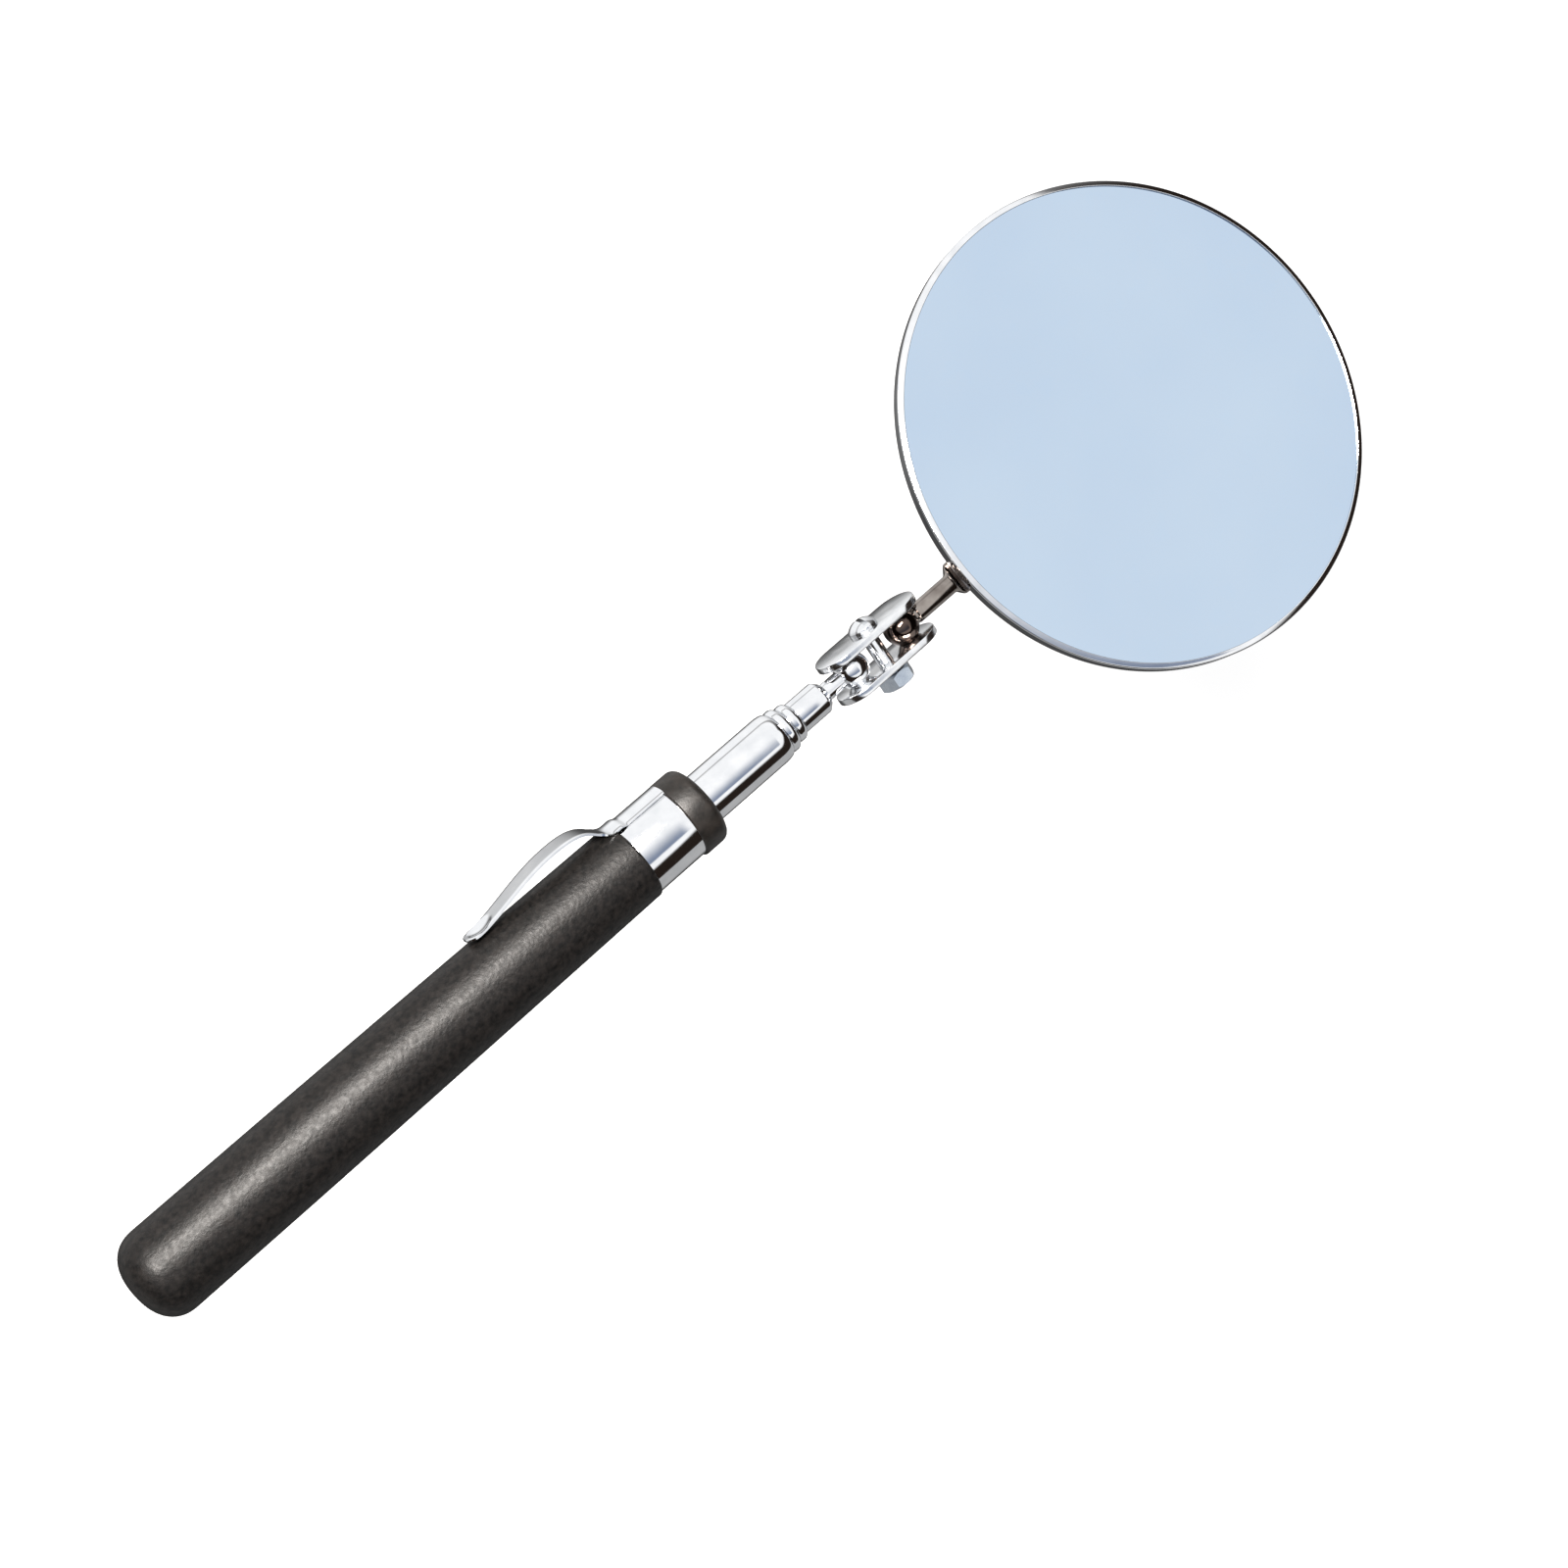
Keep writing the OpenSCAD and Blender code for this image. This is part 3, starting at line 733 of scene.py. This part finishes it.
# %% [markdown]
# ## The two balls
#
# The first ball is turned in one piece with its neck and with a head that is trapped
# inside the rod's nose, so it can spin but not pull out. The second ball is bored for
# the mirror's stem. Each is squeezed between dished seats in the two plates.

# %% Turn the ball stud and the mirror ball
stud_start = stations("rod_ball_stud")[0]
neck_meets = math.degrees(math.asin(NECK_R / ball_r))
stud_line = [(stud_start, 0), (stud_start, 2.1), (stud_start + 0.1, 2.2), (tip_end - 1.0, 2.2),
             (tip_end - 1.0, NECK_R)]
stud_line += arc(ball_1, 0, ball_r, 180 - neck_meets, 0, 40)
mount(turned(stud_line, chrome, segments=96), "ball_stud", "stud", "chrome", "rod_ball_stud")

BORE_DEPTH = 1.6
bore_r = NECK_R + NECK_GAP
bore_meets = math.degrees(math.asin(bore_r / ball_r))
ball_line = arc(ball_2, 0, ball_r, 180, bore_meets, 40)
ball_line += [(ball_2 - BORE_DEPTH, bore_r), (ball_2 - BORE_DEPTH, 0)]
# The ball's finish carries painted shade in its dark brown base colour
mount(turned(ball_line, brown_chrome_painted_shade, segments=96), "mirror_ball_turned", "ball", "chrome",
      "mirror_ball")

# %% [markdown]
# ## Skins: a mesh from rows of points
#
# The stem, the clip, the nut and the washer aren't round, so they are made as skins.
# Each is a stack of rows with the same number of points, joined into faces, like a
# canvas over a boat's ribs. A row can close on itself, and so can the stack.

# %% The skin helper


def skin_mesh(name, rows, finish, ring=True, loop=False, crease=32):
    """Joins rows of points, in metres, into faces. ring closes rows, loop the stack."""
    across = len(rows[0])
    mesh = bpy.data.meshes.new(name)
    faces = []
    for r in range(len(rows) if loop else len(rows) - 1):
        low, high = r * across, (r + 1) % len(rows) * across
        for k in range(across if ring else across - 1):
            n = (k + 1) % across
            faces.append((low + k, low + n, high + n, high + k))
    if ring and not loop:
        faces.append(tuple(reversed(range(across))))
        faces.append(tuple(range((len(rows) - 1) * across, len(rows) * across)))
    mesh.from_pydata([tuple(p) for row_points in rows for p in row_points], [], faces)
    outward(mesh)
    mesh.materials.append(finish)
    mesh.shade_smooth()
    mesh.set_sharp_from_angle(angle=math.radians(crease))
    return mesh


# Directions across the link: along the screw, and upwards in the plates
PLATE_UP = ALONG.cross(SCREW_AXIS).normalized()
link_mid = (BALL_1 + BALL_2) / 2
print("plates stand", round(math.degrees(PLATE_UP.angle(Vector((0, 0, 1)))), 1), "degrees off upright")

# %% [markdown]
# ## The link plates
#
# Two stamped plates squeeze both balls. A plate is a flat bar with round ends, a dished
# seat and a peep hole at each ball, and a hole for the screw. It is cut out as a press
# tool does it: a slab first, then balls and pins taken away with Boolean modifiers, and
# a small bevel for the edges that tumbling has broken.

# %% Cut the plates
PLATE_L, PLATE_W, PLATE_T = 20.0, 8.4, 1.2
PLATE_GAP = 5.0
PEEP_R, HOLE_R, SEAT_R = 0.95, 1.55, ball_r + 0.03


def temporary(mesh):
    """An object for a mesh that is only needed for a while."""
    made = bpy.data.objects.new("temporary", mesh)
    bpy.context.scene.collection.objects.link(made)
    return made


def modified(mesh, stack, creased=32):
    """Runs modifiers on a mesh, each given as (kind, settings), and returns the result."""
    work = temporary(mesh)
    for kind, settings in stack:
        modifier = work.modifiers.new(kind, kind)
        for setting, value in settings.items():
            setattr(modifier, setting, value)
    scene_now = bpy.context.evaluated_depsgraph_get()
    made = bpy.data.meshes.new_from_object(work.evaluated_get(scene_now))
    bpy.data.objects.remove(work)
    made.shade_smooth()
    made.set_sharp_from_angle(angle=math.radians(creased))
    return made


def cut(mesh, cutters, bevel_mm):
    """Takes the cutters away from a mesh and breaks its edges."""
    tools = [temporary(cutter) for cutter in cutters]
    stack = [("BOOLEAN", {"object": tool, "operation": "DIFFERENCE", "solver": "EXACT"})
             for tool in tools]
    if bevel_mm:
        stack.append(("BEVEL", {"width": bevel_mm * MM, "segments": 3, "limit_method": "ANGLE",
                                "angle_limit": math.radians(40)}))
    made = modified(mesh, stack)
    for tool in tools:
        bpy.data.objects.remove(tool)
    return made


def pin(centre, radius, low, high, segments=48):
    """A round cutter along the screw's axis, from low to high in millimetres."""
    return turned([(low, 0), (low, radius), (high, radius), (high, 0)], flat_chrome,
                  SCREW_AXIS, centre, segments)


def plate_mesh(side):
    """One plate: side 1 is under the screw's head, and side -1 is at the nut."""
    inner = side * PLATE_GAP / 2
    outer = inner + side * PLATE_T
    ends = [arc(s * (PLATE_L - PLATE_W) / 2, 0, PLATE_W / 2, s * 90 - 180, s * 90, 32)
            for s in (-1, 1)]
    rows = [[link_mid + (ALONG * x + PLATE_UP * z + SCREW_AXIS * level_mm) * MM
             for end in ends for x, z in end] for level_mm in (inner, outer)]
    slab = skin_mesh("slab", rows, flat_chrome)
    seats = [turned(arc(0, 0, SEAT_R, 180, 0, 32), flat_chrome, SCREW_AXIS, ball, 64)
             for ball in (BALL_1, BALL_2)]
    low, high = sorted((inner - side, outer + side))
    holes = [pin(ball, PEEP_R, low, high) for ball in (BALL_1, BALL_2)]
    holes.append(pin(link_mid, HOLE_R, low, high))
    return cut(slab, seats + holes, 0.14)


mount(plate_mesh(1), "link_plate_upper", "link", "chrome", "plate_upper")
mount(plate_mesh(-1), "link_plate_lower", "link", "chrome", "plate_lower")

# %% [markdown]
# ## The clamp screw
#
# A pan-head screw draws the plates together. The head is turned, then a slot is sawn
# across it. The thread is a small ridge that climbs the shank, so a Geometry Nodes tree
# sweeps a triangle along a helix: pitch, length and radius are its inputs. It runs only
# where the nut needs it. The shank between the plates is plain.

# %% Turn the screw and sweep its thread
HEAD_R, HEAD_H, HEAD_EDGE = 2.5, 1.9, 0.7
SHANK_R = 1.45
NUT_T, WASHER_T = 2.4, 0.7
plate_out = PLATE_GAP / 2 + PLATE_T
nut_in = plate_out + WASHER_T + 0.02
screw_tip = nut_in + NUT_T + 0.6
dome_r = (HEAD_R ** 2 + (HEAD_H - HEAD_EDGE) ** 2) / (2 * (HEAD_H - HEAD_EDGE))
dome_edge = math.degrees(math.asin((HEAD_R - 0.15) / dome_r))
screw_line = [(-screw_tip, 0), (-screw_tip, SHANK_R - 0.45), (-screw_tip + 0.3, SHANK_R - 0.12),
              (plate_out, SHANK_R - 0.12), (plate_out, HEAD_R - 0.1), (plate_out + 0.1, HEAD_R),
              (plate_out + HEAD_EDGE - 0.05, HEAD_R)]
screw_line += arc(plate_out + HEAD_H - dome_r, 0, dome_r, dome_edge, 0, 16)
screw_body = turned(screw_line, chrome, SCREW_AXIS, link_mid, 96)
slot_low = plate_out + HEAD_H - 0.8
slot_rows = [[link_mid + (ALONG * x + SCREW_AXIS * y + PLATE_UP * z) * MM
              for x, y in ((-0.35, slot_low), (0.35, slot_low), (0.35, slot_low + 2),
                           (-0.35, slot_low + 2))] for z in (-3, 3)]
screw_body = cut(screw_body, [skin_mesh("saw", slot_rows, chrome)], 0.06)

thread, given = new_tree("thread", {
    "Pitch": "Float", "Turns": "Float", "Radius": "Float", "Axis": "Vector", "Start": "Vector",
    "Crease angle": "Float", "Finish": "Material"})
helix = add(thread, "GeometryNodeCurveSpiral", values={"Resolution": 40}, links={
    "Rotations": given["Turns"], "Start Radius": given["Radius"], "End Radius": given["Radius"],
    "Height": calc(thread, "MULTIPLY", given["Pitch"], given["Turns"])})
ridge = add(thread, "GeometryNodeCurvePrimitiveCircle", values={"Resolution": 3},
            links={"Radius": calc(thread, "MULTIPLY", given["Pitch"], 0.5)})
swept = add(thread, "GeometryNodeCurveToMesh", values={"Fill Caps": True},
            links={0: helix, "Profile Curve": ridge})
aim = add(thread, "FunctionNodeAlignRotationToVector", axis="Z", links={"Vector": given["Axis"]})
set_in = add(thread, "GeometryNodeTransform", links={
    0: swept, "Translation": given["Start"], "Rotation": aim})
joined = add(thread, "GeometryNodeJoinGeometry", links={0: given["Geometry"]})
thread.links.new(set_in.outputs[0], joined.inputs[0])
end_tree(thread, joined, given)

THREAD_PITCH = 0.5
THREAD_TURNS = (screw_tip - plate_out - 0.3) / THREAD_PITCH
screw_mesh = run_tree(
    thread, screw_body, Pitch=THREAD_PITCH * MM, Turns=THREAD_TURNS, Radius=(SHANK_R - 0.25) * MM,
    Axis=tuple(SCREW_AXIS), Start=tuple(link_mid - SCREW_AXIS * (screw_tip - 0.3) * MM),
    Crease_angle=math.radians(32), Finish=chrome)
mount(screw_mesh, "clamp_screw_threaded", "link", "chrome", "clamp_screw")

# %% [markdown]
# ## The spring washer and the nut
#
# The split washer is a square-section wire bent one turn, with its two ends a little
# apart and a little out of line. The nut is a hexagon whose corners are turned off by a
# cone at both faces. Both are skins of rows taken at even angles about the screw.

# %% Bend the washer and shape the nut
WASHER_R = 2.6
WASHER_BORE = SHANK_R + 0.15
NUT_AF = 5.5
NUT_BEVEL = 0.35


def about_screw(radius, angle, level_mm):
    """A point at a radius and angle about the screw, level_mm along it, in metres."""
    spoke = ALONG * math.sin(angle) + PLATE_UP * math.cos(angle)
    return link_mid + (spoke * radius + SCREW_AXIS * level_mm) * MM


washer_rows = []
for k in range(97):
    angle = math.radians(6 + 348 * k / 96)
    rise = 0.04 * (k / 96 - 0.5)
    low = -plate_out - WASHER_T + 0.03 + rise
    high = -plate_out - 0.03 + rise
    edge = 0.07
    section = [(WASHER_BORE, low + edge), (WASHER_BORE + edge, low), (WASHER_R - edge, low),
               (WASHER_R, low + edge), (WASHER_R, high - edge), (WASHER_R - edge, high),
               (WASHER_BORE + edge, high), (WASHER_BORE, high - edge)]
    washer_rows.append([about_screw(r, angle, y) for r, y in section])
mount(skin_mesh("washer", washer_rows, zinc), "split_washer", "link", "zinc_steel", "lock_washer")

corner_gain = NUT_AF / 2 / math.cos(math.radians(30)) - NUT_AF / 2
nut_rows = []
for k in range(120):
    angle = math.radians(3 * k)
    hex_r = NUT_AF / 2 / math.cos((angle + math.radians(30)) % math.radians(60) - math.radians(30))
    drop = NUT_BEVEL * (hex_r - NUT_AF / 2) / corner_gain
    top, foot = -nut_in, -nut_in - NUT_T
    bore = SHANK_R + 0.05
    section = [(bore, foot + 0.3), (bore + 0.3, foot), (NUT_AF / 2 - 0.05, foot),
               (hex_r, foot + drop + 0.04), (hex_r, top - drop - 0.04), (NUT_AF / 2 - 0.05, top),
               (bore + 0.3, top), (bore, top - 0.3)]
    nut_rows.append([about_screw(r, angle, y) for r, y in section])
mount(skin_mesh("nut", nut_rows, zinc, loop=True), "clamp_hex_nut", "nut", "zinc_steel",
      "clamp_nut")

# %% [markdown]
# ## The mirror's stem
#
# The stem is a round rod with a thin spigot pressed in the ball. Past the mirror's edge
# it is hammered flat into a tab that cranks under the frame and is riveted to the back.
# The rows of its skin go from circles to flat rounded bars: each row is an oval with a
# half width, a half height, and a power that squares its corners.

# %% Skin the stem
STEM_R = 1.6
TAB_HALF_W, TAB_HALF_T = 3.0, 0.5
frame_low, frame_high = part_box("mirror_frame")
frame_edge = (frame_low.x - ROD_START.x) / MM
half_h = (frame_high.z - frame_low.z) / 2 / MM
tab_end = stations("mirror_stem")[1]
round_end = frame_edge - 1.7
tab_z = -half_h - TAB_HALF_T
lip_inside = frame_edge + 1.5
TAB_STEP = 0.3


def oval(x, z, wide, high, power, points=48):
    """A row of the stem: an oval about a point on the rod's axis, square at high power."""
    made = []
    for k in range(points):
        angle = math.tau * k / points
        c, s = math.cos(angle), math.sin(angle)
        y = math.copysign(abs(c) ** (2 / power), c) * wide
        up = math.copysign(abs(s) ** (2 / power), s) * high
        made.append(ROD_START + Vector((x, y, z + up)) * MM)
    return made


stem_rows = [oval(ball_2 - 1.5, 0, NECK_R - 0.15, NECK_R - 0.15, 2),
             oval(ball_2 - 1.4, 0, NECK_R, NECK_R, 2),
             oval(ball_2 + ball_r, 0, NECK_R, NECK_R, 2),
             oval(ball_2 + ball_r + 0.05, 0, STEM_R - 0.2, STEM_R - 0.2, 2),
             oval(ball_2 + ball_r + 0.25, 0, STEM_R, STEM_R, 2),
             oval(round_end - 0.8, 0, STEM_R, STEM_R, 2)]
for k in range(1, 13):
    share = k / 12
    ease = share * share * (3 - 2 * share)
    stem_rows.append(oval(
        round_end - 0.8 + 2.6 * share, tab_z * ease, STEM_R + (TAB_HALF_W - STEM_R) * ease,
        STEM_R + (TAB_HALF_T - STEM_R) * min(1, ease * 1.25), 2 + 4 * ease))
stem_rows += [oval(lip_inside - 0.1, tab_z, TAB_HALF_W, TAB_HALF_T, 6),
              oval(lip_inside + 0.2, tab_z + TAB_STEP, TAB_HALF_W, TAB_HALF_T, 6)]
for k in range(13):
    angle = math.radians(90 * k / 12 * 0.985)
    stem_rows.append(oval(tab_end - TAB_HALF_W + TAB_HALF_W * math.sin(angle), tab_z + TAB_STEP,
                          TAB_HALF_W * math.cos(angle), TAB_HALF_T, 6))
mount(skin_mesh("stem", stem_rows, dull_warm_nickel), "mirror_stem_forged", "mirror", "chrome",
      "mirror_stem")

# %% [markdown]
# ## The rivets
#
# Two round-head rivets hold the tab. Things that repeat are a job for instances: a small
# tree lays a line of points and puts a copy of the rivet on each. The rivet itself comes
# from the lathe, with its shank through the plate and its head underneath.

# %% Set the rivets
rivet_row, given = new_tree("rivet_row", {
    "Count": "Int", "Spacing": "Vector", "Crease angle": "Float", "Finish": "Material"})
spots = add(rivet_row, "GeometryNodeMeshLine", mode="OFFSET", links={
    "Count": given["Count"], "Offset": given["Spacing"]})
copies = add(rivet_row, "GeometryNodeInstanceOnPoints", links={
    0: spots, "Instance": given["Geometry"]})
end_tree(rivet_row, copies, given)

RIVET_FIRST, RIVET_PITCH, RIVET_R = 4.4, 4.4, 1.1
under = -half_h - 0.7
rivet_line = [(-0.7, 0), (-0.7, RIVET_R), (under, RIVET_R), (under, 1.85), (under - 0.08, 1.9)]
rivet_line += [(under - 0.7 * math.sin(a), 1.9 * math.cos(a))
               for a in (math.radians(10 + 80 * k / 10) for k in range(10))] + [(under - 0.7, 0)]
first_rivet = ROD_START + ALONG * (frame_edge + RIVET_FIRST) * MM
rivet = turned(rivet_line, steel, Vector((0, 0, 1)), first_rivet, 32)
rivets = run_tree(rivet_row, rivet, Count=2, Spacing=(RIVET_PITCH * MM, 0, 0),
                  Crease_angle=math.radians(32), Finish=steel)
mount(rivets, "stem_rivet_pair", "mirror", "plain_steel", "stem_rivets")

# %% [markdown]
# ## The mirror's frame, glass and back
#
# The frame is a strip rolled into a ring, with its two edges turned in: the front lip
# holds the glass and the back lip holds a steel disc. All three are turned about the
# upright axis through the mirror's middle. The glass has a fine ground edge, and its
# face is perfectly flat, which a mirror shows up at once.

# %% Roll the frame and cut the glass
mirror_mid = Vector(((frame_low.x + frame_high.x) / 2, 0, ROD_START.z))
mirror_r = (frame_high.y - frame_low.y) / 2 / MM
UPRIGHT = Vector((0, 0, 1))
LIP_T, LIP_IN, BACK_LIP_IN, WALL = 0.3, 1.05, 1.3, 0.35
BEZEL_DROP = 0.3  # how far the front lip slopes down towards the outside
glass_front = half_h - LIP_T
back_low = LIP_T - half_h
frame_line = soften([
    (half_h - BEZEL_DROP, mirror_r, 0.35), (half_h, mirror_r - LIP_IN, 0.1),
    (glass_front, mirror_r - LIP_IN, 0.05), (glass_front, mirror_r - WALL, 0),
    (back_low, mirror_r - WALL, 0), (back_low, mirror_r - BACK_LIP_IN, 0.05),
    (-half_h, mirror_r - BACK_LIP_IN, 0.12), (-half_h, mirror_r, 0.6)], steps=8)
mount(turned(frame_line, chrome, UPRIGHT, mirror_mid, 320), "mirror_frame_rolled", "mirror",
      "chrome", "mirror_frame")

glass_low, glass_high = (v.z / MM - ROD_START.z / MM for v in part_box("mirror_glass"))
glass_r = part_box("mirror_glass")[1].y / MM
GROUND_EDGE = 0.2
glass_line = [(glass_low, 0), (glass_low, glass_r - GROUND_EDGE), (glass_low + GROUND_EDGE, glass_r),
              (glass_high - GROUND_EDGE, glass_r), (glass_high, glass_r - GROUND_EDGE),
              (glass_high, 0)]
mount(turned(glass_line, silver, UPRIGHT, mirror_mid, 256, 20), "mirror_glass_silvered",
      "mirror", "silvered_glass", "mirror_glass")

disc_low, disc_high = (v.z / MM - ROD_START.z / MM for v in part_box("back_plate"))
disc_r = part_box("back_plate")[1].y / MM
disc_line = [(disc_low, 0), (disc_low, disc_r), (disc_high, disc_r), (disc_high, 0)]
mount(turned(disc_line, steel, UPRIGHT, mirror_mid, 256), "mirror_back_disc", "mirror",
      "plain_steel", "back_plate")

# %% [markdown]
# ## The pocket clip
#
# The clip is one strip of spring steel. At its root it is a strap, curved round the
# sleeve. It steps up over the grip's mouth, folds sharply out, arches, and comes down to
# a round toe with a dished pad that grips the cloth. It is a skin whose rows follow that
# path. Each row is bent to the sleeve's curve near the strap and is flat along the arm.
# The root must stay on the sleeve while the arm springs. The piece is not attached to a body.

# %% Form the clip
clip_side = Vector((0, CLIP_HINGE.y, CLIP_HINGE.z - ROD_START.z)).normalized()
clip_edge = ALONG.cross(clip_side)
STRAP_T, ARM_T = 0.36, 0.5
STRAP_HALF = math.radians(26)
PAD = (68.75, 2.25, 0.47)


def cubic(p, t):
    """A point of the cubic curve through four control points."""
    return sum((Vector(q) * w for q, w in zip(p, (
        (1 - t) ** 3, 3 * t * (1 - t) ** 2, 3 * t * t * (1 - t), t ** 3))), Vector((0, 0)))


strap_r = sleeve_r + STRAP_T / 2
over_r = GRIP_MOUTH_R + 0.05 + STRAP_T / 2
clip_path = [Vector((grip_mouth + 10 - 8 * k / 8, strap_r)) for k in range(9)]
clip_path += [Vector((grip_mouth + 1.9 - 1.1 * k / 8, strap_r + (over_r - strap_r) * (
    k / 8) ** 2 * (3 - 2 * k / 8))) for k in range(9)]
clip_path += [Vector((grip_mouth + 0.4 - 0.4 * k, over_r)) for k in range(3)]
clip_root = [(grip_mouth - 0.8, over_r), (grip_mouth - 3.6, over_r), (grip_mouth - 2.1, 9.75),
             (84.2, 9.8)]
clip_path += [cubic(clip_root, k / 40) for k in range(41)]
clip_path += [cubic([(84.2, 9.8), (79.0, 9.9), (75.0, 8.6), (70.2, 7.85)], k / 50)
              for k in range(1, 51)]
clip_path += [cubic([(70.2, 7.85), (68.6, 7.6), (67.4, 7.5), (65.85, 7.75)], k / 36)
              for k in range(1, 37)]


def half_width(x):
    """Half of the clip's width at a station: it narrows, then rounds off at the toe."""
    share = min(1, max(0, (grip_mouth - 1.5 - x) / 21.5))
    wide = 2.8 - 0.5 * share
    from_tip = x - 65.7
    if from_tip < wide:
        wide *= math.sqrt(max(0.02, 1 - (1 - from_tip / wide) ** 2))
    return wide


ACROSS = 16
clip_rows = []
for i, spot in enumerate(clip_path):
    ahead = clip_path[min(i + 1, len(clip_path) - 1)] - clip_path[max(i - 1, 0)]
    normal = Vector((ahead.y, -ahead.x)).normalized()
    bent_share = min(1, max(0, (spot.x - grip_mouth + 2.1) / 1.4)) if i < 60 else 0
    thick = ARM_T + (STRAP_T - ARM_T) * bent_share
    outer, inner = [], []
    for k in range(ACROSS + 1):
        share = 2 * k / ACROSS - 1
        wide = half_width(spot.x) if bent_share < 1 else STRAP_HALF * strap_r
        angle = share * STRAP_HALF
        side_flat = share * wide
        pad_far = math.hypot(spot.x - PAD[0], side_flat) / PAD[1]
        dent = PAD[2] * (1 - pad_far ** 2) if pad_far < 1 else 0
        rim = 1 - 0.35 * max(0, abs(share) - 0.85) / 0.15
        for line, sign in ((outer, 1), (inner, -1)):
            half_t = thick / 2 * sign * rim
            flat_at = spot + normal * (half_t - dent)
            curved_r = spot.y + half_t
            curved = clip_side * curved_r * math.cos(angle) + clip_edge * curved_r * math.sin(angle)
            level = clip_side * flat_at.y + clip_edge * side_flat
            mixed = curved * bent_share + level * (1 - bent_share)
            x = flat_at.x * (1 - bent_share) + spot.x * bent_share
            line.append(ROD_START + (ALONG * x + mixed) * MM)
    clip_rows.append(outer + inner[::-1])
clip = mount(skin_mesh("clip", clip_rows, chrome, crease=50), "pocket_clip_formed", None,
             "chrome", "clip_strap", "clip_arm")
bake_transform(clip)
print("clip path of", len(clip_path), "rows")

# %% [markdown]
# ## Finishes for the parts inside
#
# The tube inside the grip, the bushings, the plugs, the brass shims and the pad behind
# the glass keep their plain shapes, because they are simple turned or sawn parts. They
# only need real finishes.

# %% Finish the inner parts
INNER = {
    "handle_tube": steel, "end_plug": dark_plastic, "rear_bushing": nylon,
    "front_bushing": nylon, "shim_2": brass, "shim_3": brass, "shim_4": brass,
    "tip_stop_plug": brass, "backing_pad": foam,
}
for node, finish in INNER.items():
    mesh = frame["nodes"][node].data
    mesh.materials.clear()
    mesh.materials.append(finish)
print("inner parts finished:", len(INNER))

# %% [markdown]
# ## The end
#
# The frame fixes the tool's size.
